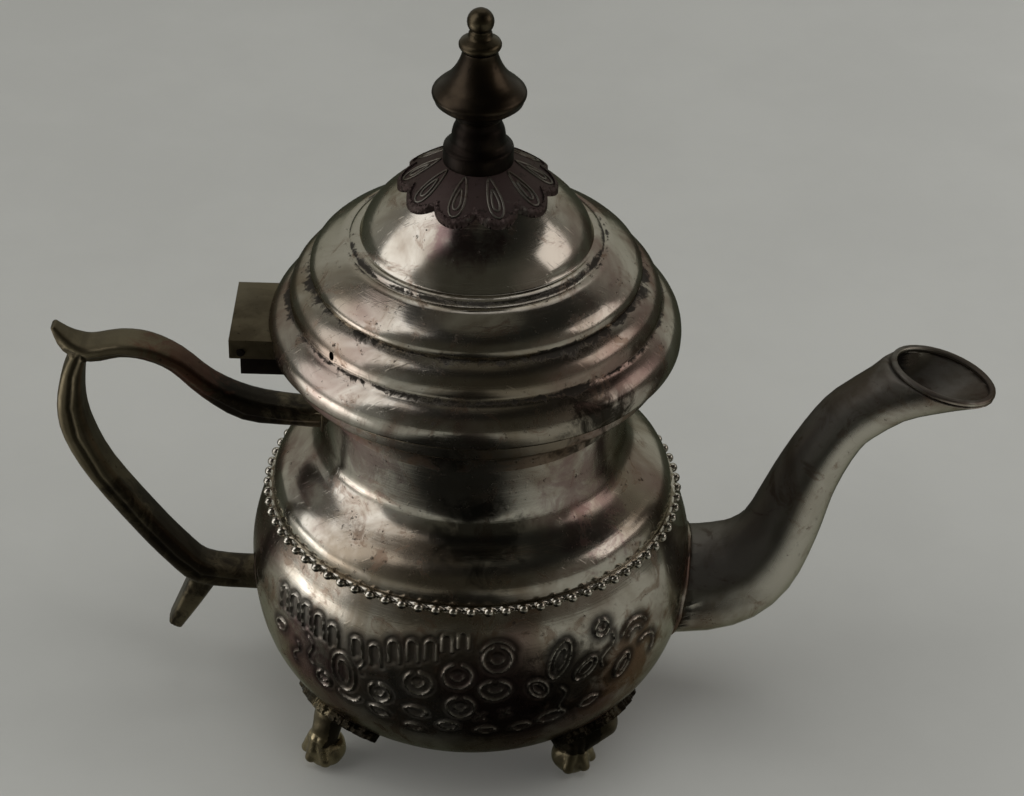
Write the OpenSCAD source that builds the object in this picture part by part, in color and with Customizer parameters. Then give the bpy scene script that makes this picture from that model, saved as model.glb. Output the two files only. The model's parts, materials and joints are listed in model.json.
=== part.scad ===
// Footed, beaded, hinged-lid serving pot in silver-plated brass.
// Millimetres. +Z is up, +X points along the spout, the handle lies on -X, z = 0 is the ground.

/* [Body] */
// Widest diameter of the bowl
belly_d = 118.8; // [112:0.2:124]
// Height of the widest girth above the ground
belly_h = 50.5; // [48:0.5:55]
// Gap between the lowest point of the bowl and the ground
bowl_clearance = 3.6; // [2.5:0.5:6]
// How square the lower bowl is: 2 is a true ellipse, higher is fuller
bowl_fullness = 2.5; // [2.1:0.05:2.7]
// How far the beaded seam stands in from the girth
seam_inset = 5.6; // [4.4:0.2:7]
// Height of the beaded seam above the girth
seam_rise = 21; // [19:0.5:24]
// Diameter of the neck
neck_d = 79.6; // [74:0.2:84]
// Height of the shoulder, from the seam up to where it has turned upright
shoulder_rise = 20.5; // [18:0.5:24]
// Length of the upright neck above the shoulder
neck_rise = 16; // [14:0.5:18]
// Thickness of the sheet brass of bowl, shoulder and neck
wall = 1.2; // [0.9:0.1:1.6]

/* [Beaded seam] */
// Number of beads round the seam
bead_count = 77; // [60:1:84]
// Diameter of one bead
bead_d = 2.6; // [2:0.1:3]
// Height of the flat wire that carries the beads
bead_band_h = 2; // [1.4:0.1:2.6]

/* [Collar] */
// How far the collar flares out past the neck
collar_flare = 9.6; // [8:0.2:11]
// Height of the collar above the neck, up to the flat top where the lid rests
collar_rise = 11.5; // [10:0.5:13]
// Height of the upright band at the collar's edge
collar_band_h = 4; // [2.6:0.2:4.6]
// Length of the collar sleeve that laps over the neck
collar_lap = 3; // [2:0.5:5]

/* [Lid] */
// How far the lid rim stands out past the collar
lid_overhang = 3.7; // [3:0.1:5]
// Distance inwards from the rim to the crease between rim and middle step
step_one_inset = 5.6; // [4.6:0.2:6.6]
// Distance inwards from the lower crease to the one under the upper band
step_two_inset = 5.5; // [4.5:0.5:6.5]
// Height from the rim's edge to the lower crease
step_one_rise = 10.8; // [9.8:0.2:12]
// Height from the lower crease to the upper crease
step_two_rise = 8.6; // [8:0.2:9.6]
// How far each rolled step bulges past the straight line between its creases
step_bulge = 2; // [1.4:0.1:2.4]
// Distance inwards from the upper crease to the dome, where it leaves the turned grooves
dome_inset = 12.3; // [11:0.1:13.5]
// Height of the dome above its own girth
dome_rise = 22.6; // [20:0.2:25]
// Height of the dome's girth above the upper crease
dome_girth_rise = 11; // [10.4:0.2:12]
// Thickness of the lid's sheet brass
lid_wall = 1; // [0.8:0.1:1.3]
// Steam hole diameter
vent_d = 1.8; // [1.2:0.2:3]
// How far up the middle step the steam hole is, from 0 at its lower crease to 1 at its upper one
vent_share = 0.16; // [0.1:0.02:0.9]
// Direction of the steam hole, from the spout round towards the front
vent_angle = 223; // [200:1:250]
// Gap between the resting lid and the collar
lid_seat_gap = 0.3; // [0.2:0.1:0.5]
// Gap under the locating ring, above the collar's flare
bezel_clear = 0.6; // [0.4:0.1:1.2]
// Radial play between the locating ring and the collar's mouth
bezel_play = 1.2; // [0.9:0.1:1.8]

/* [Rosette] */
// Number of petals
petal_count = 10; // [8:1:12]
// Diameter across the petal tips
rosette_d = 40.2; // [37:0.2:44]
// Thickness of the petal sheet
petal_t = 0.8; // [0.6:0.1:1.1]
// Height of the raised outline on each petal
petal_ridge = 0.5; // [0.3:0.1:0.8]
// Width of the raised outline on each petal
petal_rim_w = 0.9; // [0.6:0.1:1.2]

/* [Finial] */
// Diameter of the finial's foot
finial_foot_d = 17.6; // [16:0.2:19]
// Diameter of the waist between foot and bulb
finial_waist_d = 11.6; // [10.5:0.2:12.6]
// Height of the foot piece, up to the waist
finial_foot_h = 9.2; // [8:0.2:10]
// Widest diameter of the bulb
bulb_d = 23.4; // [21:0.2:26]
// Height of the bulb piece
bulb_h = 18.5; // [17:0.5:20]
// Height of the brass tip with its ring and ball
tip_h = 11.1; // [10:0.1:12.5]
// Diameter of the ball at the very top
tip_ball_d = 6.7; // [6:0.1:7.4]
// Diameter of the threaded stud that holds the finial
stud_d = 3; // [2.6:0.2:3.6]

/* [Hinge] */
// Length of the hinge block across the pot
hinge_w = 27.5; // [25:0.5:30]
// Distance of the pin from the lid's rim, outwards
pin_offset = 6.2; // [5.4:0.1:7]
// Diameter of the hinge pin
pin_d = 2; // [1.8:0.1:2.4]
// Radial play of the lid leaf on the pin
pin_play = 0.05; // [0.02:0.01:0.08]
// Wall round the pin in the barrel
barrel_wall = 1.1; // [0.9:0.1:1.3]
// Width of each cheek of the lid leaf
cheek_w = 2.4; // [2:0.1:3]
// Height of the cheeks
cheek_h = 5.5; // [5:0.1:6]
// Depth of the block that is soldered to the collar, below the collar's top
hinge_block_drop = 7; // [6:0.5:8]
// Thickness of the lid leaf's top plate
plate_t = 1.2; // [1:0.1:1.5]

/* [Spout] */
// Distance from the pot's axis to the outermost edge of the pouring lip
spout_reach = 136; // [130:0.5:142]
// Height of the middle of the mouth
mouth_h = 109.4; // [104:0.5:114]
// Drop from the bowl's girth to the middle of the root
root_drop = 10.5; // [8:0.5:13]
// Outer diameter of the tube at its root
root_d = 30; // [27:0.5:31]
// Outer diameter of the tube at its narrowest, in the throat
throat_d = 16.2; // [15:0.2:18]
// Length of the mouth, from front to back
mouth_l = 29.4; // [27:0.2:31]
// Width of the mouth, from side to side
mouth_w = 24; // [22:0.5:26]
// Wall of the spout
spout_wall = 1.3; // [1:0.1:1.6]
// Diameter of the rolled wire round the lip
lip_d = 1.8; // [1.4:0.1:2.2]
// Diameter of each straining hole in the bowl behind the spout
strainer_hole_d = 2.8; // [2:0.2:3.4]
// Spacing of the straining holes
strainer_pitch = 4.8; // [4.2:0.1:5.4]

/* [Handle] */
// Distance from the pot's axis to the outermost edge of the handle
handle_reach = 110; // [105:0.5:115]
// Height of the pointed thumb rest above the crest of the upper arm
thumb_rise = 6.2; // [4:0.2:8]
// Height of the upper arm's crest above its root
arm_rise = 19.3; // [16:0.1:22]
// Height of the upper arm's root above the foot of the neck
arm_root_rise = 2; // [0:0.5:5]
// Drop from the bowl's girth to the lower arm's root
tail_drop = 11.7; // [9:0.1:14]
// Length of the spur below the lower arm
spur_drop = 18.8; // [15:0.2:22]
// Width of the handle across the pot
handle_w = 10; // [8.5:0.5:12]
// Thickness of the upper arm
arm_t = 4.8; // [4:0.2:6]
// Thickness of the lower scroll
scroll_t = 7.2; // [6:0.2:8.4]

/* [Feet] */
// Angle of each foot from the pot's long axis
foot_angle = 41; // [38:1:46]
// How far the middle of each ball stands out past the bowl beside its leaf
foot_splay = 2.6; // [1:0.2:5]
// How far the front right claw has been pushed in under the bowl
bent_claw_in = 6.6; // [0:0.2:7]
// How far round the front right claw has been pushed, in degrees
bent_claw_turn = 8; // [0:1:10]
// Width of the leaf that is soldered to the bowl
leaf_w = 32; // [28:0.5:34]
// Thickness of the leaf
leaf_t = 2.6; // [2:0.2:3.4]
// Height of the leaf's middle above the ground
leaf_h = 17.5; // [16:0.5:20]
// Diameter of the ball under each claw
ball_d = 11; // [10:0.5:12]
// Diameter of the flat that each foot stands on
ground_flat_d = 5; // [4:0.5:6]

/* [Hidden] */

silver = "#8d8782";
dark_silver = "#6f6763";
old_brass = "#6b5a3c";
dark_copper = "#4f3a2f";
blackened = "#37302c";

belly_r = belly_d / 2;
seam_r = belly_r - seam_inset;
seam_h = belly_h + seam_rise;
neck_r = neck_d / 2;
neck_start_h = seam_h + shoulder_rise;
neck_top_h = neck_start_h + neck_rise;
collar_r = neck_r + collar_flare;
collar_top_h = neck_top_h + collar_rise;
lid_r = collar_r + lid_overhang;
step_one_r = lid_r - step_one_inset;
step_two_r = step_one_r - step_two_inset;
dome_r = step_two_r - dome_inset;
rosette_r = rosette_d / 2;
bead_r = bead_d / 2;
// the pot's axis stands off the origin so that the origin is the middle of the overall length
pot_x = (handle_reach - spout_reach) / 2;
lower_depth = belly_h - bowl_clearance;
upper_depth = (seam_h - belly_h) / sqrt(1 - pow(seam_r / belly_r, 2));
lid_rim_h = collar_top_h + lid_seat_gap + 0.5;
step_one_h = lid_rim_h + step_one_rise;
step_two_h = step_one_h + step_two_rise;
dome_girth_h = step_two_h + dome_girth_rise;
dome_top_h = dome_girth_h + dome_rise;
pin_x = -(lid_r + pin_offset);
pin_h = lid_rim_h + 0.6;
pin_r = pin_d / 2;
barrel_r = pin_r + barrel_wall;
plate_gap = 0.3;
plate_under_h = pin_h + barrel_r + plate_gap;
hinge_top_h = plate_under_h + plate_t;
hinge_outer_x = pin_x - barrel_r - 0.9;
cheek_gap = 0.3;
stud_r = stud_d / 2;
overlap = 0.01;

// points along part of a circle
function arc_points(cx, cy, r, from, to, n) =
    [for (i = [0:n]) let (a = from + (to - from) * i / n) [cx + r * cos(a), cy + r * sin(a)]];

// points of a cubic curve between p0 and p3
function curve_points(p0, p1, p2, p3, n) =
    [for (i = [0:n]) let (u = i / n, v = 1 - u)
        v * v * v * p0 + 3 * u * v * v * p1 + 3 * u * u * v * p2 + u * u * u * p3];

// points from p to q on a curve that bulges by rise to the right of the way from p to q
function bulge_points(p, q, rise, n) =
    let (along = q - p, side = [along[1], -along[0]] / norm(along))
    [for (i = [0:n]) let (u = i / n) p + along * u + side * rise * 4 * u * (1 - u)];

// the last point of a list
function last(list) = list[len(list) - 1];

// a list without its first point
function rest(list) = [for (i = [1:1:len(list) - 1]) list[i]];

// a list in the other order
function reversed(list) = [for (i = [len(list) - 1:-1:0]) list[i]];

// a profile moved by d to the left of its direction of travel
function shifted(path, d) =
    [for (i = [0:len(path) - 1])
        let (a = path[max(i - 1, 0)],
             b = path[min(i + 1, len(path) - 1)],
             t = (b - a) / norm(b - a))
        path[i] + d * [-t[1], t[0]]];

// closed outline of a sheet that follows a profile, with its thickness to the left
function sheet_outline(path, thickness) = concat(path, reversed(shifted(path, thickness)));

// smooth interpolation between rows b and c of a table, u from 0 to 1
function spline(a, b, c, d, u) =
    0.5 * (2 * b + (c - a) * u + (2 * a - 5 * b + 4 * c - d) * u * u
           + (3 * b - a - 3 * c + d) * u * u * u);

// a table of stations filled in with n steps between each two rows
function smooth_rows(rows, n) =
    let (m = len(rows))
    concat([for (i = [0:m - 2], k = [0:n - 1])
        spline(rows[max(i - 1, 0)], rows[i], rows[i + 1], rows[min(i + 2, m - 1)], k / n)],
        [rows[m - 1]]);

// a skin over equal rings of points, closed at both ends
module skin(rings) {
    n = len(rings[0]);
    m = len(rings);
    points = [for (ring = rings, p = ring) p];
    sides = [for (i = [0:m - 2], j = [0:n - 1])
        [i * n + j, i * n + (j + 1) % n, (i + 1) * n + (j + 1) % n, (i + 1) * n + j]];
    start = [for (j = [n - 1:-1:0]) j];
    end = [for (j = [0:n - 1]) (m - 1) * n + j];
    polyhedron(points, concat([start], sides, [end]), convexity = 10);
}

// everything is drawn about the pot's axis and then moved here
module on_axis() {
    translate([pot_x, 0, 0]) children();
}

// ---- profiles, all as [radius, height] from the bottom up on the outside ----

function bowl_radius(z) =
    z < belly_h
    ? belly_r * pow(1 - pow((belly_h - z) / lower_depth, bowl_fullness), 1 / bowl_fullness)
    : belly_r * sqrt(1 - pow((z - belly_h) / upper_depth, 2));

bowl_outside = concat(
    [for (a = [0:4:88]) let (s = pow(sin(a), 2 / bowl_fullness), c = pow(cos(a), 2 / bowl_fullness))
        [belly_r * s, belly_h - lower_depth * c]],
    [for (i = [0:6]) let (z = belly_h + (seam_h - belly_h) * i / 6) [bowl_radius(z), z]]);
bowl_inside = concat(
    [for (a = [0:4:88]) let (s = pow(sin(a), 2 / bowl_fullness), c = pow(cos(a), 2 / bowl_fullness))
        [(belly_r - wall) * s, belly_h - (lower_depth - wall) * c]],
    [for (i = [0:6]) let (z = belly_h + (seam_h - belly_h) * i / 6) [bowl_radius(z) - wall, z]]);

shoulder_outside = concat(
    [[seam_r - 0.4, seam_h]],
    curve_points([seam_r - 0.4, seam_h + 0.6], [seam_r - 0.4, seam_h + shoulder_rise * 0.683],
                 [neck_r + 0.6, seam_h + shoulder_rise * 0.415], [neck_r, neck_start_h], 14),
    [[neck_r, neck_top_h]]);

collar_outside = concat(
    [[neck_r + 1, neck_top_h - collar_lap]],
    curve_points([neck_r + 1, neck_top_h], [neck_r + 1.4, neck_top_h + collar_rise * 0.35],
                 [collar_r - 4, collar_top_h - collar_band_h - 1.4],
                 [collar_r - 0.8, collar_top_h - collar_band_h - 0.6], 8),
    arc_points(collar_r - 0.8, collar_top_h - collar_band_h + 0.2, 0.8, -60, 0, 3),
    [[collar_r, collar_top_h - 0.6]],
    [[collar_r - 0.6, collar_top_h]]);
collar_inside = concat(
    [[neck_r, neck_top_h - collar_lap], [neck_r, neck_top_h], [neck_r - wall, neck_top_h]],
    curve_points([neck_r - wall, neck_top_h + 0.4],
                 [neck_r - wall + 0.4, neck_top_h + collar_rise * 0.4],
                 [collar_r - 6, collar_top_h - collar_band_h],
                 [collar_r - 2.2, collar_top_h - collar_band_h + 1], 8),
    [[collar_r - 2.2, collar_top_h]]);

lid_steps = concat(
    [[lid_r - 1, lid_rim_h]],
    arc_points(lid_r - 1.2, lid_rim_h + 1.3, 1.2, -60, 0, 4),
    rest(bulge_points([lid_r, lid_rim_h + 1.3], [step_one_r, step_one_h], step_bulge, 8)),
    rest(bulge_points([step_one_r, step_one_h], [step_two_r, step_two_h], step_bulge, 8)));
groove_two = [dome_r + 2.8, dome_girth_h - 1.4];
lid_band = concat(
    curve_points([step_two_r, step_two_h], [step_two_r + 1.2, step_two_h + 3],
                 [step_two_r - 1.4, step_two_h + 5], groove_two + [4.4, -2.4], 6),
    [groove_two + [0.5, -0.2], groove_two + [0, -0.6], groove_two + [-0.5, 0.3]],
    [[dome_r + 0.5, dome_girth_h], [dome_r, dome_girth_h - 0.4]]);
lid_dome = concat(
    curve_points([dome_r - 0.3, dome_girth_h], [dome_r - 2, dome_girth_h + dome_rise * 0.32],
                 [dome_r * 0.62, dome_girth_h + dome_rise * 0.65],
                 [stud_r + 2.5, dome_top_h], 16),
    [[stud_r, dome_top_h]]);
lid_outside = concat(lid_steps, rest(lid_band), lid_dome);

// ---- body ----

module bowl_solid() {
    rotate_extrude($fn = 96) polygon(concat(bowl_outside, [[0, seam_h]]));
}

module strainer_holes() {
    for (row = [-2:2])
        for (col = [-2:2])
            if (abs(row) + abs(col) < 4)
                translate([belly_r - 14, (col + (row % 2 == 0 ? 0 : 0.5)) * strainer_pitch,
                           root_h + row * strainer_pitch * 0.866])
                    rotate([0, 90, 0]) cylinder(d = strainer_hole_d, h = 20, $fn = 24);
}

module bowl() {
    color(silver) on_axis() difference() {
        rotate_extrude($fn = 96) polygon(concat(bowl_outside, reversed(bowl_inside)));
        strainer_holes();
    }
}

module shoulder() {
    color(silver) on_axis()
        rotate_extrude($fn = 96) polygon(sheet_outline(shoulder_outside, wall));
}

module bead_ring() {
    band_r = seam_r + 0.5;
    bead_pitch_r = seam_r + bead_r * 0.75;
    color(silver) on_axis() difference() {
        union() {
            rotate_extrude($fn = 96)
                translate([seam_r - 1, seam_h - bead_band_h / 2])
                    square([band_r - seam_r + 1, bead_band_h]);
            for (i = [0:bead_count - 1])
                rotate([0, 0, i * 360 / bead_count])
                    translate([bead_pitch_r, 0, seam_h]) sphere(d = bead_d, $fn = 16);
        }
        rotate_extrude($fn = 96)
            polygon(concat(bowl_outside, rest(shoulder_outside), [[0, neck_top_h]]));
    }
}

module neck_collar() {
    color(silver) on_axis()
        rotate_extrude($fn = 96) polygon(concat(collar_outside, reversed(collar_inside)));
}

// ---- feet ----

leaf_r = bowl_radius(leaf_h);
leaf_slope = atan2(bowl_radius(leaf_h + 1) - bowl_radius(leaf_h - 1), 2);
foot_r = leaf_r + foot_splay;
ball_r = ball_d / 2;
ball_z = sqrt(ball_r * ball_r - pow(ground_flat_d / 2, 2));

module leaf_outline() {
    lobes = 3;
    for (side = [-1, 1])
        for (i = [0:lobes])
            translate([side * (leaf_w / 2 - 3.2) * i / lobes, -0.28 * i * i])
                circle(r = 5.4 - 0.75 * i, $fn = 32);
}

// a leaf at one angle round the pot, and under it a claw that holds a ball at its own angle and radius
module foot(angle, claw_angle, claw_r) {
    on_axis() {
        rotate([0, 0, angle]) intersection() {
            rotate_extrude($fn = 96)
                polygon(concat(rest(bowl_outside), reversed(shifted(rest(bowl_outside), -leaf_t))));
            translate([leaf_r, 0, leaf_h]) rotate([0, 90 + leaf_slope, 0])
                translate([0, 0, -8]) rotate([0, 0, 90]) linear_extrude(20) leaf_outline();
        }
        difference() {
            union() {
                hull() {
                    rotate([0, 0, angle]) translate([leaf_r + 1, 0, leaf_h - 2]) sphere(d = 8.4, $fn = 28);
                    rotate([0, 0, claw_angle]) translate([claw_r + 0.5, 0, ball_z + 4])
                        sphere(d = 7.6, $fn = 28);
                }
                rotate([0, 0, claw_angle]) claw(claw_r);
            }
            rotate_extrude($fn = 96) polygon(concat(bowl_outside, [[0, seam_h]]));
            translate([0, 0, -10]) cylinder(r = foot_r + ball_d, h = 10, $fn = 48);
        }
    }
}

// three toes round a ball
module claw(claw_r) {
    translate([claw_r, 0, ball_z]) sphere(r = ball_r, $fn = 48);
    for (spread = [-50, 0, 50])
        hull() {
            translate([claw_r + 1, 0, ball_z + 4.4]) rotate([0, 0, spread])
                translate([2, 0, 0]) sphere(d = 4.2, $fn = 20);
            translate([claw_r, 0, ball_z]) rotate([0, 0, spread])
                translate([ball_r - 0.4, 0, -1]) sphere(d = 3.4, $fn = 20);
        }
}

module straight_foot(angle) {
    foot(angle, angle, foot_r);
}

module foot_front_left() { color(old_brass) straight_foot(180 + foot_angle); }
module foot_front_right() {
    color(old_brass) foot(-foot_angle, -foot_angle - bent_claw_turn, foot_r - bent_claw_in);
}
module foot_rear_left() { color(old_brass) straight_foot(180 - foot_angle); }
module foot_rear_right() { color(old_brass) straight_foot(foot_angle); }

// ---- spout ----

root_r = root_d / 2;
root_h = belly_h - root_drop;
throat_r = throat_d / 2;
spout_start_x = belly_r - 12;
spout_sides = 28;
mouth_tilt = 73.4;
mouth_x = spout_reach - mouth_l / 2 * sin(mouth_tilt);
// each station: way along from root to mouth in x and in height, how much of the root's extra
// girth is left, how much of the mouth's extra girth has come, and the direction of the tube
spout_stations = [
    [0.00, 0.000, 1.00, 0.00, 0],
    [0.22, 0.015, 0.97, 0.00, 8],
    [0.34, 0.060, 0.86, 0.00, 28],
    [0.415, 0.135, 0.64, 0.00, 50],
    [0.475, 0.245, 0.36, 0.00, 64],
    [0.515, 0.375, 0.23, 0.00, 71],
    [0.55, 0.500, 0.12, 0.00, 69],
    [0.597, 0.630, 0.04, 0.00, 63],
    [0.655, 0.755, 0.00, 0.00, 54],
    [0.71, 0.830, 0.00, 0.02, 44],
    [0.82, 0.925, 0.00, 0.06, 38],
    [0.885, 0.962, 0.00, 0.30, 50],
    [0.945, 0.985, 0.00, 0.64, 63],
    [1.00, 1.000, 0.00, 1.00, mouth_tilt]];

// rings of the tube, with its radii less an inset
function spout_rings(inset, sides) =
    [for (s = smooth_rows(spout_stations, 2))
        let (x = spout_start_x + (mouth_x - spout_start_x) * s[0],
             z = root_h + (mouth_h - root_h) * s[1],
             base = throat_r + (root_r - throat_r) * s[2],
             long = base + (mouth_l / 2 - throat_r) * s[3] - inset,
             wide = base + (mouth_w / 2 - throat_r) * s[3] - inset)
        [for (k = [0:sides - 1]) let (a = 360 * k / sides)
            [x - long * cos(a) * sin(s[4]), wide * sin(a), z + long * cos(a) * cos(s[4])]]];

// the same rings moved by a vector
function moved(ring, v) = [for (p = ring) p + v];

module spout_tube() {
    bore = spout_rings(spout_wall, spout_sides);
    past_root = [-2, 0, 0];
    past_mouth = [cos(mouth_tilt), 0, sin(mouth_tilt)] * 2;
    color(silver) on_axis() difference() {
        skin(spout_rings(0, spout_sides));
        skin(concat([moved(bore[0], past_root)], bore, [moved(last(bore), past_mouth)]));
        bowl_solid();
    }
}

module spout_lip() {
    color(silver) on_axis() mouth_ring();
}

// rolled wire round the mouth, as a ring of short swept sections
module mouth_ring() {
    lip_r = lip_d / 2;
    long = mouth_l / 2 - lip_r;
    wide = mouth_w / 2 - lip_r;
    steps = 40;
    sides = 10;
    up = [cos(mouth_tilt), 0, sin(mouth_tilt)];
    fore = [sin(mouth_tilt), 0, -cos(mouth_tilt)];
    side = [0, 1, 0];
    middle = [mouth_x, 0, mouth_h] + up * (lip_r + overlap);
    points = [for (i = [0:steps - 1], k = [0:sides - 1])
        let (a = 360 * i / steps, b = 360 * k / sides,
             out = fore * cos(a) / long + side * sin(a) / wide,
             n = out / norm(out))
        middle + fore * long * cos(a) + side * wide * sin(a)
            + (n * cos(b) + up * sin(b)) * lip_r];
    faces = [for (i = [0:steps - 1], k = [0:sides - 1])
        let (j = (i + 1) % steps, l = (k + 1) % sides)
        [i * sides + k, i * sides + l, j * sides + l, j * sides + k]];
    polyhedron(points, faces, convexity = 6);
}

// ---- handle ----

// rounded-rectangle rings along stations of [x, height, half thickness, half width]
function bar_rings(stations, n, sides) =
    let (rows = smooth_rows(stations, n))
    [for (i = [0:len(rows) - 1])
        let (a = rows[max(i - 1, 0)],
             b = rows[min(i + 1, len(rows) - 1)],
             t = [b[0] - a[0], b[1] - a[1]] / norm([b[0] - a[0], b[1] - a[1]]),
             s = rows[i])
        [for (k = [0:sides - 1])
            let (c = cos(360 * k / sides),
                 d = sin(360 * k / sides),
                 u = sign(c) * sqrt(abs(c)) * s[2],
                 v = sign(d) * sqrt(abs(d)) * s[3])
            [s[0] - t[1] * u, v, s[1] + t[0] * u]]];

bar_sides = 16;
arm_r = arm_t / 2;
scroll_r = scroll_t / 2;
grip_r = handle_w / 2;
arm_root_h = neck_start_h + arm_root_rise;
arm_crest_h = arm_root_h + arm_rise;
tail_root_h = belly_h - tail_drop;
arm_span = handle_reach - neck_r;
scroll_span = handle_reach - belly_r;
scroll_fall = arm_crest_h - tail_root_h;

// stations of the upper arm, by share of the way out from the neck and share of its rise
function arm_at(out, up, thick, wide) =
    [-neck_r - arm_span * out, arm_root_h + arm_rise * up, arm_r * thick, grip_r * wide];

// stations of the lower arm, by share of the way out from the bowl and share of the handle's height
function scroll_at(out, up, thick, wide) =
    [-belly_r - scroll_span * out, tail_root_h + scroll_fall * up, scroll_r * thick, grip_r * wide];

// stations of the spur, by share of the way out from the bowl and share of its own length
function spur_at(out, down, thick, wide) =
    [-belly_r - scroll_span * out, tail_root_h - spur_drop * down, scroll_r * thick, grip_r * wide];

arm_stations = [
    arm_at(-0.057, -0.052, 1.3, 1),
    arm_at(0.114, -0.021, 1.25, 1),
    arm_at(0.285, 0.07, 1.48, 1),
    arm_at(0.427, 0.373, 1.15, 0.94),
    arm_at(0.541, 0.767, 1, 0.94),
    arm_at(0.644, 0.959, 1, 1),
    arm_at(0.744, 1, 1, 1),
    arm_at(0.858, 0.917, 1.05, 1),
    arm_at(0.937, 1.031, 0.9, 0.8),
    arm_at(0.989, 1 + 0.9 * thumb_rise / arm_rise, 0.3, 0.4)];
scroll_stations = [
    scroll_at(0.854, 0.973, 0.6, 0.9),
    scroll_at(0.897, 0.893, 0.8, 1),
    scroll_at(0.923, 0.758, 1, 1),
    scroll_at(0.897, 0.631, 1.1, 1),
    scroll_at(0.791, 0.463, 1, 1),
    scroll_at(0.575, 0.242, 1, 1),
    scroll_at(0.417, 0.102, 1, 1),
    scroll_at(0.289, 0.019, 1, 1),
    scroll_at(0.079, 0, 0.9, 1),
    scroll_at(-0.158, 0, 1, 1)];
spur_stations = [
    spur_at(0.259, -0.053, 1.1, 0.9),
    spur_at(0.348, 0.426, 0.86, 0.9),
    spur_at(0.447, 0.936, 0.6, 0.76)];

module handle() {
    color(old_brass) on_axis() difference() {
        union() {
            skin(bar_rings(arm_stations, 3, bar_sides));
            skin(bar_rings(scroll_stations, 3, bar_sides));
            skin(bar_rings(spur_stations, 3, bar_sides));
        }
        rotate_extrude($fn = 96)
            polygon(concat(bowl_outside, rest(shoulder_outside), [[0, neck_top_h]]));
    }
}

// ---- hinge ----

lug_w = hinge_w - 2 * (cheek_w + cheek_gap);
// stock left between the barrel and the lid's rim, and clear space under the rim
lug_web = 1.6;
rim_clear = 1.6;

module hinge_body_leaf() {
    lug_outer_x = pin_x - pin_r / 2;
    lug_inner_x = pin_x + barrel_r + lug_web;
    block_top_h = lid_rim_h - rim_clear;
    block_bottom_h = collar_top_h - hinge_block_drop;
    color(old_brass) on_axis() difference() {
        union() {
            translate([pin_x, lug_w / 2, pin_h]) rotate([90, 0, 0])
                cylinder(r = barrel_r, h = lug_w, $fn = 48);
            translate([lug_outer_x, -lug_w / 2, block_bottom_h])
                cube([lug_inner_x - lug_outer_x, lug_w, pin_h - plate_gap - block_bottom_h]);
            translate([lug_outer_x, -lug_w / 2, block_bottom_h])
                cube([-lug_outer_x - neck_r, lug_w, block_top_h - block_bottom_h]);
        }
        rotate_extrude($fn = 96)
            polygon(concat(collar_outside, [[0, collar_top_h], [0, neck_top_h - collar_lap]]));
        translate([pin_x, hinge_w, pin_h]) rotate([90, 0, 0])
            cylinder(r = pin_r, h = 2 * hinge_w, $fn = 32);
    }
}

module hinge_pin() {
    color(old_brass) on_axis()
        translate([pin_x, hinge_w / 2 + 0.4, pin_h]) rotate([90, 0, 0])
            cylinder(r = pin_r, h = hinge_w + 0.8, $fn = 32);
}

module lid_solid() {
    rotate_extrude($fn = 96) polygon(concat([[0, lid_rim_h]], lid_outside, [[0, dome_top_h]]));
}

module hinge_lid_leaf() {
    inner_x = -lid_r + 8;
    fill_from_x = pin_x + barrel_r + 0.7;
    color(old_brass) on_axis() difference() {
        union() {
            translate([hinge_outer_x, -hinge_w / 2, plate_under_h])
                cube([inner_x - hinge_outer_x, hinge_w, plate_t]);
            translate([fill_from_x, -hinge_w / 2, pin_h + plate_gap])
                cube([inner_x - fill_from_x, hinge_w, hinge_top_h - pin_h - plate_gap]);
            for (side = [-1, 1])
                translate([hinge_outer_x, side * (hinge_w - cheek_w) / 2 - cheek_w / 2,
                           hinge_top_h - cheek_h])
                    cube([inner_x - hinge_outer_x, cheek_w, cheek_h]);
        }
        lid_solid();
        translate([0, 0, lid_rim_h - 10]) cylinder(r = lid_r - 0.6, h = 11, $fn = 96);
        translate([pin_x, hinge_w, pin_h]) rotate([90, 0, 0])
            cylinder(r = pin_r + pin_play, h = 2 * hinge_w, $fn = 32);
    }
}

// ---- lid ----

module lid_shell() {
    color(silver) on_axis() difference() {
        rotate_extrude($fn = 96) polygon(sheet_outline(lid_outside, lid_wall));
        rotate([0, 0, vent_angle])
            translate([step_one_r - step_two_inset * vent_share, 0,
                       step_one_h + step_two_rise * vent_share])
                rotate([0, 45, 0]) translate([0, 0, -4]) cylinder(d = vent_d, h = 12, $fn = 24);
    }
}

bezel_r = collar_r - 2.2 - bezel_play;
bezel_bottom_h = collar_top_h - collar_band_h + 1 + bezel_clear;

module lid_bezel() {
    flange_r = lid_r - 2.6;
    color(silver) on_axis() rotate_extrude($fn = 96) polygon([
        [bezel_r - 1, bezel_bottom_h],
        [bezel_r, bezel_bottom_h],
        [bezel_r, collar_top_h + lid_seat_gap],
        [flange_r, collar_top_h + lid_seat_gap],
        [flange_r, collar_top_h + lid_seat_gap + 0.8],
        [bezel_r - 1, collar_top_h + lid_seat_gap + 0.8]]);
}

petal_r = rosette_r * sin(180 / petal_count) * 0.98;

module petals(inset) {
    for (i = [0:petal_count - 1])
        rotate([0, 0, i * 360 / petal_count])
            translate([rosette_r - petal_r, 0]) circle(r = petal_r - inset, $fn = 32);
    circle(r = rosette_r - petal_r, $fn = 64);
}

module dome_band(low, high) {
    rotate_extrude($fn = 96)
        polygon(concat(shifted(lid_dome, -low), reversed(shifted(lid_dome, -high))));
}

module rosette() {
    color(dark_silver) on_axis() union() {
        intersection() {
            dome_band(0, petal_t);
            translate([0, 0, dome_girth_h]) linear_extrude(dome_rise + 5) petals(0);
        }
        intersection() {
            dome_band(petal_t / 2, petal_t + petal_ridge);
            translate([0, 0, dome_girth_h]) linear_extrude(dome_rise + 5) difference() {
                petals(0);
                petals(petal_rim_w);
            }
        }
    }
}

// ---- finial ----

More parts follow.
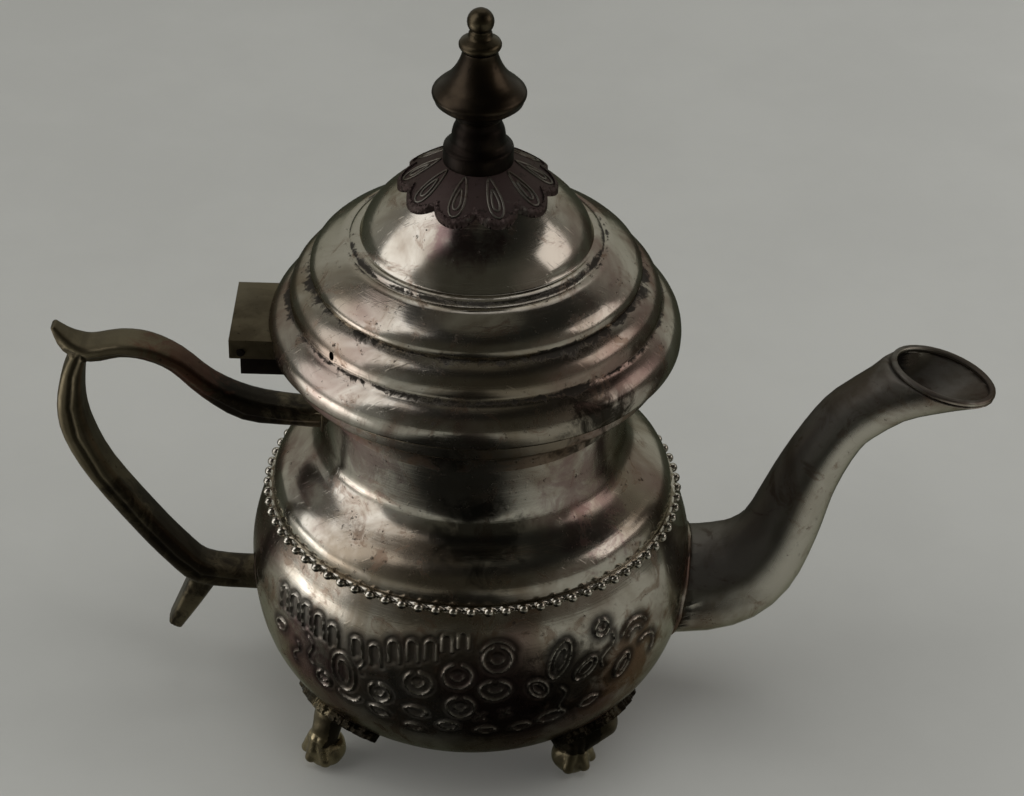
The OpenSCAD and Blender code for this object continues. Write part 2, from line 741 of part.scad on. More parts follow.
finial_base_h = dome_top_h + petal_t;
waist_h = finial_base_h + finial_foot_h;
bulb_top_h = waist_h + bulb_h;
finial_top_h = bulb_top_h + tip_h;
foot_piece_r = finial_foot_d / 2;
waist_r = finial_waist_d / 2;
bulb_r = bulb_d / 2;
tip_r = tip_ball_d / 2;

module finial_foot() {
    skirt = 6;
    color(blackened) on_axis() difference() {
        rotate_extrude($fn = 64) polygon(concat(
            [[stud_r, finial_base_h - skirt], [foot_piece_r, finial_base_h - skirt]],
            arc_points(foot_piece_r - 1, finial_base_h + 1, 1, 0, 80, 3),
            curve_points([foot_piece_r - 1.6, finial_base_h + 2.8],
                         [waist_r + 0.6, finial_base_h + 3.4],
                         [waist_r + 1.4, finial_base_h + 5.4], [waist_r, waist_h - 1.4], 6),
            [[waist_r - 0.2, waist_h], [stud_r, waist_h]]));
        rotate_extrude($fn = 96) polygon(concat(
            [[0, dome_girth_h]], shifted(lid_dome, -petal_t), [[0, finial_base_h]]));
    }
}

module finial_bulb() {
    color(dark_copper) on_axis() rotate_extrude($fn = 64) polygon(concat(
        [[stud_r, waist_h], [waist_r - 0.2, waist_h]],
        curve_points([waist_r + 0.2, waist_h + 1], [waist_r + 1.6, waist_h + 2.4],
                     [bulb_r * 0.8, waist_h + 3.4], [bulb_r * 0.94, waist_h + 5], 6),
        arc_points(bulb_r - 1.4, waist_h + 7, 1.4, -40, 50, 5),
        curve_points([bulb_r * 0.88, waist_h + 9], [bulb_r * 0.58, waist_h + 11.6],
                     [tip_r * 1.5, waist_h + 15], [tip_r * 1.3, bulb_top_h - 0.4], 7),
        [[tip_r * 1.3, bulb_top_h], [stud_r, bulb_top_h]]));
}

module finial_tip() {
    ring_r = tip_r * 1.22;
    neck_ring_r = tip_r * 0.86;
    color(old_brass) on_axis() difference() {
        rotate_extrude($fn = 64) polygon(concat(
            [[0, bulb_top_h], [ring_r, bulb_top_h]],
            arc_points(ring_r - 0.2, bulb_top_h + 1.6, 1.4, -70, 70, 5),
            [[neck_ring_r, bulb_top_h + 3.8], [neck_ring_r, bulb_top_h + 4.8]],
            arc_points(0, finial_top_h - tip_r, tip_r, -42, 90, 10)));
        translate([0, 0, bulb_top_h - 1]) cylinder(r = stud_r, h = 5, $fn = 32);
    }
}

nut_h = 2.4;
washer_t = 0.8;
dome_inner_h = dome_top_h - lid_wall;

module finial_stud() {
    bottom = dome_inner_h - washer_t - nut_h - 1.5;
    color(old_brass) on_axis() translate([0, 0, bottom])
        cylinder(r = stud_r, h = bulb_top_h + 4 - bottom, $fn = 32);
}

module finial_washer() {
    color(old_brass) on_axis() translate([0, 0, dome_inner_h - washer_t]) difference() {
        cylinder(r = stud_r * 2.3, h = washer_t, $fn = 32);
        translate([0, 0, -1]) cylinder(r = stud_r, h = washer_t + 2, $fn = 32);
    }
}

module finial_nut() {
    color(old_brass) on_axis() translate([0, 0, dome_inner_h - washer_t - nut_h]) difference() {
        cylinder(r = stud_r * 1.9, h = nut_h, $fn = 6);
        translate([0, 0, -1]) cylinder(r = stud_r, h = nut_h + 2, $fn = 32);
    }
}

bowl();
shoulder();
bead_ring();
neck_collar();
foot_front_left();
foot_front_right();
foot_rear_left();
foot_rear_right();
spout_tube();
spout_lip();
handle();
hinge_body_leaf();
hinge_pin();
hinge_lid_leaf();
lid_shell();
lid_bezel();
rosette();
finial_foot();
finial_bulb();
finial_tip();
finial_stud();
finial_washer();
finial_nut();
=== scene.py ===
"""Footed coffee pot in worn silver plate: its finishes, and its chased, cast and soldered detail.

Metres, +Z up, spout along +X, handle on -X. Laid out as an add-on and run as a script.
"""

import json
import math
import random

import bpy
from mathutils import Euler, Matrix, Vector, kdtree
from mathutils import noise as fine_noise
from mathutils.bvhtree import BVHTree

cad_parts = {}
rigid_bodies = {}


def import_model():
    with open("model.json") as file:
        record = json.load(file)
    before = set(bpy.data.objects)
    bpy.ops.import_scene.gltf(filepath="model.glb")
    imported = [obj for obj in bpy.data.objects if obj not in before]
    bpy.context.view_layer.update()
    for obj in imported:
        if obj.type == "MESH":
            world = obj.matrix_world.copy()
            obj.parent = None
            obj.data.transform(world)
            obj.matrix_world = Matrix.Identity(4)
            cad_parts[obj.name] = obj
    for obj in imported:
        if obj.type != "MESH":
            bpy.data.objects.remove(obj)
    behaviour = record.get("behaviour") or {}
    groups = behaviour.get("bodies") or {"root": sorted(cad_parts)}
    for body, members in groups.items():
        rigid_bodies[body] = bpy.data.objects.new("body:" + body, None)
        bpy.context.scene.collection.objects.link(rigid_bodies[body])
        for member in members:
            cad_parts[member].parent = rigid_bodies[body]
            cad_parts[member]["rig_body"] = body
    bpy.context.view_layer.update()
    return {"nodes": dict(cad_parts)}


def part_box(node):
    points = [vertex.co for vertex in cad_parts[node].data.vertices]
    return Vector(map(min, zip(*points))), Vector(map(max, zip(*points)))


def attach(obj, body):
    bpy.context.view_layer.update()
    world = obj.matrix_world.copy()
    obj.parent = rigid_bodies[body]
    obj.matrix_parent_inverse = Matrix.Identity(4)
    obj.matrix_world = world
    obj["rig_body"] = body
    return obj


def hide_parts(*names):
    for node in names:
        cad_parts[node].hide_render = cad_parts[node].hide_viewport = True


bl_info = {
    "name": "Footed Coffee Pot",
    "version": (1, 0, 0),
    "blender": (4, 5, 0),
    "location": "View3D > Sidebar > Coffee Pot",
    "description": "Finishes and fine detail of a footed, hinged-lid coffee pot",
    "category": "Object",
}

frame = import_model()

# a millimetre, how close two vertices lie that are joined, and the faces round a turned piece
MM = 0.001
WELD = 2e-6
SPIN_STEPS = 200

bowl_low, bowl_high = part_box("bowl")
POT_AXIS = Vector(((bowl_low.x + bowl_high.x) / 2, 0, 0))
BELLY_RADIUS = (bowl_high.y - bowl_low.y) / 2
BOWL_BOTTOM = bowl_low.z
SEAM_HEIGHT = bowl_high.z

# the bowl's profile: its girth, how full it is below, the seam's radius and the sheet's thickness
BELLY_HEIGHT = 50.5 * MM
FULLNESS = 2.5
SEAM_RADIUS = BELLY_RADIUS - 5.6 * MM
SHEET = 1.2 * MM
LOWER_DEPTH = BELLY_HEIGHT - BOWL_BOTTOM
UPPER_DEPTH = (SEAM_HEIGHT - BELLY_HEIGHT) / math.sqrt(1 - (SEAM_RADIUS / BELLY_RADIUS) ** 2)

# the spout's root, and the straining holes behind it
ROOT_HEIGHT = BELLY_HEIGHT - 10.5 * MM
ROOT_RADIUS = 15 * MM
STRAINER_HOLE = 2.8 * MM
STRAINER_PITCH = 4.8 * MM

# the lid's steam hole: its angle from the spout, its distance from the axis and its height above the rim
VENT_AZIMUTH = 223
VENT_RADIUS = 46.6 * MM
VENT_RISE = 12.2 * MM
VENT_DIAMETER = 1.8 * MM

# the chased band round the belly: its edges, its faces round and up, how far it lies below the plain bowl,
# its relief, and how dark the ground between the lines is and how far that reaches from them
BAND_LOW = 29 * MM
BAND_HIGH = 68 * MM
BAND_FACES = (930, 98)
BAND_SUNK = 0.57 * MM
LINE_RISE = 0.55 * MM
GROOVE_DEPTH = 0.26 * MM
GROOVE_WIDTH = 0.75 * MM
HOLLOW_DEPTH = 0.416 * MM
GROUND_DIRT = 0.86
GROUND_REACH = 3.0 * MM

# the spout: the side darkened as painted shade, how wide its bore is, and where the darker root ends and
# fades
SPOUT_SHADED_SIDE = Vector((-0.5, 0, 0.87))
SPOUT_BORE = 26 * MM
ROOT_END = 58 * MM
ROOT_FADE = 14 * MM

# the feet: their angles from the spout, then the leaf's lower edge, its shank, its lobes and its veins
FEET = {"foot_front_left": 221, "foot_front_right": -41, "foot_rear_left": 139, "foot_rear_right": 41}
LEAF_LOW = 8.5 * MM
SHANK_HALF_WIDTH = 3.4 * MM
LOBE_WIDTH = 4.27 * MM
VEIN_WIDTH = 0.42 * MM
VEIN_DEPTH = 0.45 * MM
LUMP_HEIGHT = 0.22 * MM
LUMPS_PER_METRE = 330

# the rosette's petals and the wires on each, from and to a share of the radius, with their width
PETALS = 10
DROP_WIRES = [(0.46, 0.92, 4.9 * MM), (0.60, 0.84, 2.4 * MM)]

# creases darkened with dirt and painted shade, as (height, width); the lid's heights are taken from its lower
# edge
SEAM_CREASE = [(SEAM_HEIGHT, 2.2 * MM)]
LID_CREASES = [(10.8 * MM, 1.8 * MM), (19.4 * MM, 2.4 * MM), (29.2 * MM, 1.3 * MM)]

# stains, as (middle, radius, the name of their colour's setting, strength), in millimetres from the pot's
# axis and the table; the heights on the lid and the rosette are taken from the lid's lower edge
SHOULDER_STAINS = [((-30, -34, 105), 24, "bloom", 0.55), ((33, -34, 92), 26, "bloom", 0.6),
                   # the black stain at the shoulder's front middle is a painted dark reflection
                   ((2, -43, 86), 20, "soot_and_shade", 0.7)]
COLLAR_STAINS = [((27, -27, 116), 24, "soot_and_shade", 0.85), ((-4, -40, 114), 16, "soot_and_shade", 0.5)]
BELLY_STAINS = [((43, -41, 46), 26, "copper", 0.85), ((-43, -41, 44), 22, "bloom", 0.8),
                # the black stains at the belly's front middle are tarnish and a painted dark reflection
                ((12, -58, 40), 30, "soot_and_shade", 0.4), ((28, -52, 48), 22, "soot_and_shade", 0.7)]
LID_STAINS = [((34, -44, 5), 18, "soot_and_shade", 0.95), ((33, -39, 19), 20, "blush", 0.3),
              ((-2, -22, 46), 17, "bloom", 0.8)]
ROSETTE_STAINS = [((0, 0, 58), 100, "bloom", 0.9)]
HANDLE_STAINS = [((-60, 0, 98), 30, "black_patina", 0.85), ((-82, 0, 50), 42, "black_patina", 0.75),
                 ((-76, 0, 108), 20, "red_patina", 0.8)]

# the lamps, as (name, the setting of its power, place, width, height, colour), what they face, and the place
# of the window's glare on the table
LAMPS = [
    ("window", "window_power", (-1.50, -0.20, 0.95), 1.3, 2.3, (1.0, 0.985, 0.96)),
    ("skylight", "skylight_power", (0.35, -0.1, 2.2), 1.6, 1.6, (1.0, 1.0, 0.985)),
    ("bright_wall", "wall_power", (1.45, 0.02, 0.72), 1.0, 0.85, (1.0, 0.93, 0.87)),
    ("ceiling", "ceiling_power", (0.1, 0.9, 1.7), 1.4, 0.9, (1.0, 0.98, 0.95)),
]
LAMP_AIM = Vector((POT_AXIS.x, 0, 0.10))
GLARE_PLACE = (-0.37, -0.08, 0.0)
BLACK = (0.0, 0.0, 0.0)


# ---- settings ----


def tint(name, description, default, brightest=1):
    """A setting for a colour."""
    return bpy.props.FloatVectorProperty(
        name=name, description=description, default=default, subtype="COLOR", size=3, min=0, max=brightest)


def watts(name, description, default):
    """A setting for a lamp's power."""
    return bpy.props.FloatProperty(name=name, description=description, default=default, unit="POWER", min=0)


def degrees(name, description, default):
    """A setting for an angle, its default given in degrees."""
    return bpy.props.FloatProperty(
        name=name, description=description, default=math.radians(default), subtype="ANGLE")


class PlateSettings(bpy.types.PropertyGroup):
    """Colours and wear of the silver plate."""

    silver: tint("Silver", "Rubbed silver plate", (0.63, 0.59, 0.53))
    tarnish: tint("Tarnish", "Warm grey tarnish over the plate", (0.325, 0.27, 0.21))
    bloom: tint("Purple bloom", "Purplish tarnish in patches", (0.24, 0.145, 0.15))
    blush: tint("Pink blush", "Pinkish tarnish on the lid", (0.46, 0.31, 0.27))
    copper: tint("Bare metal", "Brown base metal where the plate has worn through", (0.22, 0.13, 0.085))
    # also the colour that painted shade darkens towards, in the creases, on the spout, under the handle's arm
    # and on the feet
    soot_and_shade: tint("Black spots", "Black pits and dirt in the creases", (0.018, 0.015, 0.012))
    edge: tint("Edge tint", "Tarnish over faces seen nearly edge on", (0.52, 0.53, 0.46))
    polish: bpy.props.FloatProperty(
        name="Roughness", description="Roughness of the rubbed plate", default=0.15, subtype="FACTOR",
        min=0, max=1)


class BrassSettings(bpy.types.PropertyGroup):
    """Colours of the cast and turned pieces."""

    aged_brass: tint("Aged brass", "Cast handle, feet and hinge", (0.165, 0.138, 0.09))
    brown_patina: tint("Brown patina", "Patina in patches over the brass", (0.085, 0.068, 0.042))
    rubbed_brass: tint("Rubbed brass", "Brass where hands and cloths rub it", (0.55, 0.46, 0.29))
    dark_copper: tint("Dark copper", "The finial's bulb", (0.055, 0.041, 0.028))
    black_patina: tint("Black patina", "The finial's foot", (0.016, 0.012, 0.010))
    red_patina: tint("Red patina", "Reddish patches on the handle and finial", (0.13, 0.062, 0.042))


class StageSettings(bpy.types.PropertyGroup):
    """Floor, room, lamps and camera."""

    floor_colour: tint("Floor", "Pale painted table", (0.415, 0.42, 0.395))
    floor_seen: tint("Floor as seen", "The table's paint as the camera sees it", (0.56, 0.565, 0.535))
    floor_glow: tint("Stray light", "Stray light on the table as the camera sees it", (0.055, 0.055, 0.052))
    right_glow: tint("Right stray light", "Stray light on the table's spout side", (0.105, 0.105, 0.101))
    mirrored_glow: tint("Mirrored table", "The table's glow that the metal mirrors", (0.085, 0.088, 0.070))
    floor_glare: tint("Glare", "The window's glare on the table left of the pot that the metal mirrors",
                      (3.0, 2.93, 2.8), 4)
    floor_radius: bpy.props.FloatProperty(
        name="Floor radius", description="Radius of the table", default=9.0, subtype="DISTANCE",
        unit="LENGTH")
    room_colour: tint("Room", "Dim room round the table", (0.07, 0.07, 0.068))
    left_wall: tint("Left wall", "The wall on the handle's side that the metal mirrors", (0.17, 0.17, 0.155))
    right_wall: tint("Right wall", "The wall on the spout's side that the metal mirrors", (0.10, 0.09, 0.075))
    far_wall: tint("Far wall", "The pale wall behind the pot that the metal mirrors", (0.33, 0.33, 0.29))
    far_table: tint("Far table", "The shaded table that the metal mirrors", (0.050, 0.054, 0.042))
    near_wall: tint("Near wall", "The dim wall in front that the lid mirrors", (0.040, 0.039, 0.030))
    overhead: tint("Overhead", "The ceiling straight above that the metal mirrors", (0.088, 0.085, 0.068))
    unlit_side: tint("Unlit side", "The dark ceiling that the metal mirrors", (0.012, 0.012, 0.010))
    window_power: watts("Window", "Power of the window on the handle's side", 11.0)
    wall_power: watts("Bright wall", "Power of the bright wall on the spout's side", 2.3)
    skylight_power: watts("Skylight", "Power of the even light from above", 15.0)
    ceiling_power: watts("Ceiling", "Power of the light from above and behind", 1.5)
    camera_place: bpy.props.FloatVectorProperty(
        name="Camera", description="Place of the camera", subtype="TRANSLATION", unit="LENGTH", size=3,
        default=(-0.00302, -0.5835, 0.5110))
    camera_pitch: degrees("Pitch", "Angle of the camera below the horizon", 35.2)
    camera_roll: degrees("Roll", "Turn of the camera about its own axis", 1.58)
    lens: bpy.props.FloatProperty(
        name="Lens", description="Focal length on a 36 mm wide sensor", unit="CAMERA", default=95.5)


# ---- modelling helpers ----


def select_only(*objects):
    """Leaves just these objects selected, the first one active."""
    if bpy.context.object and bpy.context.object.mode != "OBJECT":
        bpy.ops.object.mode_set(mode="OBJECT")
    bpy.ops.object.select_all(action="DESELECT")
    for piece in objects:
        piece.select_set(True)
    bpy.context.view_layer.objects.active = objects[0] if objects else None


def new_object(name, data):
    """A new object in the scene."""
    piece = bpy.data.objects.new(name, data)
    bpy.context.scene.collection.objects.link(piece)
    return piece


def edit_all(piece):
    """Opens a piece for editing with the whole of it selected."""
    select_only(piece)
    bpy.ops.object.mode_set(mode="EDIT")
    bpy.ops.mesh.select_all(action="SELECT")


def apply_modifier(kind, **settings):
    """Adds a modifier with these settings to the active piece and applies it."""
    bpy.ops.object.modifier_add(type=kind)
    modifier = bpy.context.object.modifiers[-1]
    for setting, value in settings.items():
        setattr(modifier, setting, value)
    bpy.ops.object.modifier_apply(modifier=modifier.name)


def shown_for(piece, node):
    """Shows a piece in a CAD node's place, on the same body."""
    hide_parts(node)
    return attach(piece, frame["nodes"][node]["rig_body"])


def smooth(piece, angle=40.0):
    """Smooth faces, with edges sharper than the angle kept."""
    select_only(piece)
    bpy.ops.object.shade_smooth_by_angle(angle=math.radians(angle))
    return piece


def weld(piece):
    """Joins the vertices that lie together and points every face outwards."""
    edit_all(piece)
    bpy.ops.mesh.remove_doubles(threshold=WELD)
    bpy.ops.mesh.delete_loose(use_verts=True, use_edges=True, use_faces=False)
    bpy.ops.mesh.select_all(action="SELECT")
    bpy.ops.mesh.normals_make_consistent(inside=False)
    bpy.ops.object.mode_set(mode="OBJECT")
    return piece


def delete_where(piece, test):
    """Deletes the vertices whose place passes the test."""
    select_only(piece)
    bpy.ops.object.mode_set(mode="EDIT")
    bpy.ops.mesh.select_mode(type="VERT")
    bpy.ops.mesh.select_all(action="DESELECT")
    bpy.ops.object.mode_set(mode="OBJECT")
    for vertex in piece.data.vertices:
        vertex.select = test(vertex.co)
    bpy.ops.object.mode_set(mode="EDIT")
    bpy.ops.mesh.delete(type="VERT")
    bpy.ops.object.mode_set(mode="OBJECT")


def merged_copy(node, name):
    """A copy of a CAD node's mesh, with its loose triangles merged."""
    return weld(new_object(name, frame["nodes"][node].data.copy()))


def rounded_copy(node, name):
    """A merged copy of a CAD node with smooth faces, shown in the node's place."""
    return shown_for(smooth(merged_copy(node, name)), node)


def spin_round(piece, steps):
    """Spins the piece's edges once round the pot's axis."""
    edit_all(piece)
    bpy.ops.mesh.spin(steps=steps, angle=2 * math.pi, use_auto_merge=True, center=POT_AXIS, axis=(0, 0, 1))
    bpy.ops.object.mode_set(mode="OBJECT")
    return weld(piece)


def respun(node, name, steps=SPIN_STEPS):
    """A turned CAD node's own section, spun anew with even faces, shown in the node's place."""
    piece = merged_copy(node, name)
    bpy.ops.object.mode_set(mode="EDIT")
    for direction, both_sides in (((0, 1, 0), True), ((1, 0, 0), False)):
        bpy.ops.mesh.select_all(action="SELECT")
        bpy.ops.mesh.bisect(plane_co=POT_AXIS, plane_no=direction, threshold=WELD, clear_inner=both_sides,
                            clear_outer=True)
    bpy.ops.object.mode_set(mode="OBJECT")
    return shown_for(smooth(spin_round(piece, steps), 35), node)


def turned(name, outline):
    """A closed outline of (radius, height) points, spun round the pot's axis."""
    select_only()
    bpy.ops.mesh.primitive_circle_add(vertices=len(outline), radius=BELLY_RADIUS)
    piece = bpy.context.object
    piece.name = name
    for vertex, (radius, height) in zip(piece.data.vertices, outline):
        vertex.co = POT_AXIS + Vector((radius, 0, height))
    return spin_round(piece, SPIN_STEPS)


def cut_away(piece, cutters):
    """Cuts the joined cutters out of a piece and deletes them."""
    select_only(*cutters)
    if len(cutters) > 1:
        bpy.ops.object.join()
    cutter = bpy.context.object
    select_only(piece)
    apply_modifier("BOOLEAN", operation="DIFFERENCE", solver="EXACT", object=cutter)
    select_only(cutter)
    bpy.ops.object.delete()
    return piece


def drill(place, direction, diameter, length):
    """A cylinder that cuts a round hole through a place."""
    turn = Vector(direction).to_track_quat("Z", "Y").to_euler()
    select_only()
    bpy.ops.mesh.primitive_cylinder_add(
        vertices=24, radius=diameter / 2, depth=length, location=place, rotation=turn)
    return bpy.context.object


def mark_vertices(piece, name, values):
    """Stores a value from 0 to 1 for each vertex, such as how dirty it is, for the materials."""
    piece.data.attributes.new(name, "FLOAT", "POINT").data.foreach_set("value", values)


def soil_inside(piece, height, share):
    """Stains the faces that look towards the pot's hollow round a height on its axis."""
    middle = POT_AXIS + Vector((0, 0, height))
    mark_vertices(piece, "soil", [share if (vertex.co - middle).dot(vertex.normal) < 0 else 0.0
                                  for vertex in piece.data.vertices])
    return piece


def near_tree(places):
    """A tree that finds the nearest of these places."""
    tree = kdtree.KDTree(len(places))
    for index, place in enumerate(places):
        tree.insert(place, index)
    tree.balance()
    return tree


def spaced(corners, step):
    """Evenly spaced points along a line."""
    points = []
    for start, end in zip(corners, corners[1:]):
        count = max(1, round((end - start).length / step))
        points += [start.lerp(end, index / count) for index in range(count + 1)]
    return points


def eased(share):
    """A smooth step from 0 to 1."""
    share = min(1.0, max(0.0, share))
    return share * share * (3 - 2 * share)


def around_pot(radius, azimuth, height):
    """The place at a radius, an angle in degrees from the spout, and a height."""
    turn = math.radians(azimuth)
    return POT_AXIS + Vector((radius * math.cos(turn), radius * math.sin(turn), height))


def bowl_radius(height):
    """Outer radius of the bowl at a height."""
    if height < BELLY_HEIGHT:
        share = min(1.0, (BELLY_HEIGHT - height) / LOWER_DEPTH)
        return BELLY_RADIUS * (1 - share ** FULLNESS) ** (1 / FULLNESS)
    return BELLY_RADIUS * math.sqrt(1 - ((height - BELLY_HEIGHT) / UPPER_DEPTH) ** 2)


# ---- the chasing, drawn flat in millimetres as (line, half width, raised or sunk) ----


def arc_line(middle_x, middle_y, width, height, start, end, count=18):
    """Points of an elliptic arc, its angles in degrees."""
    turns = [math.radians(start + (end - start) * step / count) for step in range(count + 1)]
    return [(middle_x + width / 2 * math.cos(turn), middle_y + height / 2 * math.sin(turn)) for turn in turns]


def ringlet(size, squash=1.0):
    """A ringed scale with a hollow and a small lip in it."""
    hollow = [(-0.15 * size, 0.25 * size), (0.15 * size, 0.25 * size)]
    return [(arc_line(0, 0, 2 * size, 2 * size * squash, 110, 430), 0.62, 1),
            (arc_line(0, 0.1 * size, 0.9 * size, 0.9 * size * squash, 190, 350), 0.42, 0.7),
            (hollow, 0.42 * size, -1)]


def flute(width, height):
    """An upright stroke like an upturned U round a hollow."""
    straight = height / 2 - width / 2
    outline = [(-width / 2, -height / 2), (-width / 2, straight)]
    outline += arc_line(0, straight, width, width, 180, 0, 8)
    outline += [(width / 2, straight), (width / 2, -height / 2)]
    return [(outline, 0.48, 0.9), ([(0, -height / 2 + 0.3), (0, straight)], width / 2 - 0.35, -0.8)]


def scale_leaf(width, height):
    """A low pointed scale with a hollow in its middle."""
    return [(arc_line(0, -height / 4, width, 1.5 * height, 10, 170), 0.5, 0.9),
            (arc_line(0, height / 4, width, 1.5 * height, 190, 350), 0.4, 0.6),
            ([(-0.22 * width, 0), (0.22 * width, 0)], 0.26 * height, -0.8)]


def oval_leaf(width, height):
    """A tall oval with a double outline and a rib."""
    return [(arc_line(0, 0, width, height, 0, 360, 28), 0.55, 1),
            (arc_line(0, 0, 0.52 * width, 0.62 * height, -60, 240, 20), 0.38, 0.6),
            ([(0, -0.22 * height), (0, 0.22 * height)], 0.15 * width, -1)]


def stem(width, height):
    """A stalk in a long S."""
    shares = [step / 12 for step in range(13)]
    points = [(width / 2 * math.sin(math.pi * (2 * share - 1)), height * (share - 0.5)) for share in shares]
    return [(points, 0.45, 0.8)]


def cross_mark(size):
    """Two short punched strokes that cross."""
    return [([(-size / 2, -size / 2), (size / 2, size / 2)], 0.35, 0.7),
            ([(-size / 2, size / 2), (size / 2, -size / 2)], 0.35, 0.7)]


def bare_arc(width, height, start, end, half_width=0.5, strength=0.9):
    """One raised arc."""
    return [(arc_line(0, 0, width, height, start, end), half_width, strength)]


# the motifs on the front, by the function that draws them: its sizes, then the motif's angle from the spout,
# height in millimetres and turn in degrees
MOTIFS = {
    ringlet: [
        (3.8, 278.0, 58.5, 0), (3.8, 268.1, 53.3, 0), (3.6, 258.2, 49.8, 15), (4.0, 0.76, 277.5, 48.8, 0),
        (3.6, 268.9, 42.9, 0), (3.1, 247.9, 43.5, 20), (2.4, 230.4, 39.8, 0), (2.3, 306.8, 60.6, 0),
    ],
    bare_arc: [
        (9.4, 9.4, 25, 155, 0.45, 0.7, 278.0, 58.9, 0), (6.8, 4.4, 190, 350, 238.6, 38.9, 4),
        (10.0, 9.0, 20, 160, 317.8, 53.6, 0), (5.6, 5.0, 20, 160, 0.42, 0.8, 317.8, 53.0, 0),
        (8.6, 8.0, -40, 120, 0.45, 0.8, 322.0, 46.4, 0),
    ],
    scale_leaf: [
        (6.4, 3.6, 257.4, 39.7, -8), (5.6, 3.0, 265.7, 35.7, 0), (5.6, 2.6, 275.4, 34.2, 0),
        (5.4, 2.6, 256.9, 33.4, -10), (6.0, 3.2, 247.4, 36.6, -14), (5.6, 2.8, 284.6, 34.4, 8),
        (5.4, 3.4, 213.6, 47.6, 30), (8.4, 3.6, 292.6, 36.2, 6), (6.0, 3.0, 303.4, 37.6, 12),
    ],
    cross_mark: [
        (2.4, 273.9, 39.6, 0), (2.2, 280.4, 40.6, 10),
    ],
    oval_leaf: [
        (7.2, 12.4, 237.4, 46.2, 4), (5.4, 11.4, 294.3, 55.4, -22), (4.4, 7.0, 288.6, 47.6, 38),
        (4.6, 8.0, 301.6, 50.2, -52), (4.2, 7.4, 313.6, 45.4, -30),
    ],
    flute: [
        (3.0, 6.4, 246.6, 55.6, 4), (2.9, 6.6, 251.6, 58.2, 3), (2.9, 6.2, 256.4, 59.6, 2),
        (2.9, 5.8, 261.1, 60.6, 0), (2.8, 4.8, 265.2, 63.0, 0), (2.8, 4.4, 269.3, 64.0, 0),
        (3.2, 6.6, 214.8, 57.4, 8), (3.2, 6.8, 219.6, 57.6, 8), (3.2, 7.0, 224.4, 57.4, 8),
        (3.2, 6.8, 229.2, 57.0, 8), (3.1, 6.4, 234.0, 56.4, 6), (3.0, 5.6, 241.4, 56.2, 6),
    ],
    stem: [
        (2.6, 9.0, 226.4, 47.0, 10), (2.2, 8.0, 220.4, 43.0, -12), (1.6, 5.6, 242.8, 50.8, 0),
        (2.2, 9.0, 295.4, 41.6, 8), (2.6, 10.0, 308.4, 53.2, -18),
    ],
}
CHASING = [(draw(*sizes), azimuth, height, turn)
           for draw, rows in MOTIFS.items() for *sizes, azimuth, height, turn in rows]
CHASING_STEP = 0.25


def chasing_points(raised):
    """Points along the raised or sunk lines, as a tree with the half width and strength at each."""
    points = []
    for strokes, azimuth, height, turn in CHASING:
        place = Vector(((azimuth - 270) * math.pi / 180 * BELLY_RADIUS / MM, height))
        spin = Matrix.Rotation(math.radians(turn), 2)
        for line, half_width, strength in strokes:
            if (strength > 0) == raised:
                corners = [place + spin @ Vector(corner) for corner in line]
                points += [(point, half_width, abs(strength)) for point in spaced(corners, CHASING_STEP)]
    return near_tree([point.to_3d() for point, _, _ in points]), points


def band_relief(place, raised, sunk):
    """Relief in metres, and dirt and rubbing from 0 to 1, at a place on the flat drawing."""
    tree, points = raised
    _, index, line_away = tree.find(place)
    _, half_line, strength = points[index]
    line = 1 - eased(line_away / half_line)
    groove_share = (line_away - 0.75 * half_line) / (GROOVE_WIDTH / MM)
    groove = math.sin(math.pi * groove_share) if 0 < groove_share < 1 else 0
    tree, points = sunk
    _, index, away = tree.find(place)
    _, half_width, depth = points[index]
    hollow = depth * (1 - eased(away / half_width))
    relief = strength * (LINE_RISE * line - GROOVE_DEPTH * groove) - HOLLOW_DEPTH * hollow
    ground = GROUND_DIRT * (1 - eased((line_away - half_line) / (GROUND_REACH / MM)))
    return relief, min(1.0, max(ground * (1 - line), 0.9 * groove * strength, hollow)), line


def in_spout_root(place, radius):
    """Whether a place on the bowl lies within a radius round the middle of the spout's root."""
    return place.x > POT_AXIS.x and math.hypot(place.y, place.z - ROOT_HEIGHT) < radius


def chased_band():
    """The ornamented skin of the belly, with its raised lines, grooves and hollows."""
    select_only()
    bpy.ops.mesh.primitive_grid_add(x_subdivisions=BAND_FACES[0], y_subdivisions=BAND_FACES[1], size=1)
    band = bpy.context.object
    band.name = "chased_band"
    raised, sunk = chasing_points(True), chasing_points(False)
    soil, rubbed = [], []
    for vertex in band.data.vertices:
        azimuth = 360 * (vertex.co.x + 0.5)
        share = vertex.co.y + 0.5
        height = BAND_LOW + (BAND_HIGH - BAND_LOW) * share
        from_middle = azimuth - 270 if azimuth > 180 else 90 - azimuth
        flat = Vector((math.radians(from_middle) * BELLY_RADIUS / MM, height / MM, 0))
        relief, darkening, rub = band_relief(flat, raised, sunk)
        inside, well_inside = [eased(share / reach) * eased((1 - share) / reach) for reach in (0.12, 0.35)]
        sinking = BAND_SUNK * well_inside * abs(math.sin(math.radians(azimuth)))
        vertex.co = around_pot(bowl_radius(height) + inside * relief - sinking, azimuth, height)
        soil.append(darkening * inside)
        rubbed.append(rub * inside)
    mark_vertices(band, "soil", soil)
    mark_vertices(band, "rubbed", rubbed)
    edit_all(band)
    bpy.ops.mesh.remove_doubles(threshold=WELD)
    bpy.ops.object.mode_set(mode="OBJECT")
    delete_where(band, lambda place: in_spout_root(place, ROOT_RADIUS - 1.6 * MM))
    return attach(smooth(band, 60), "pot")


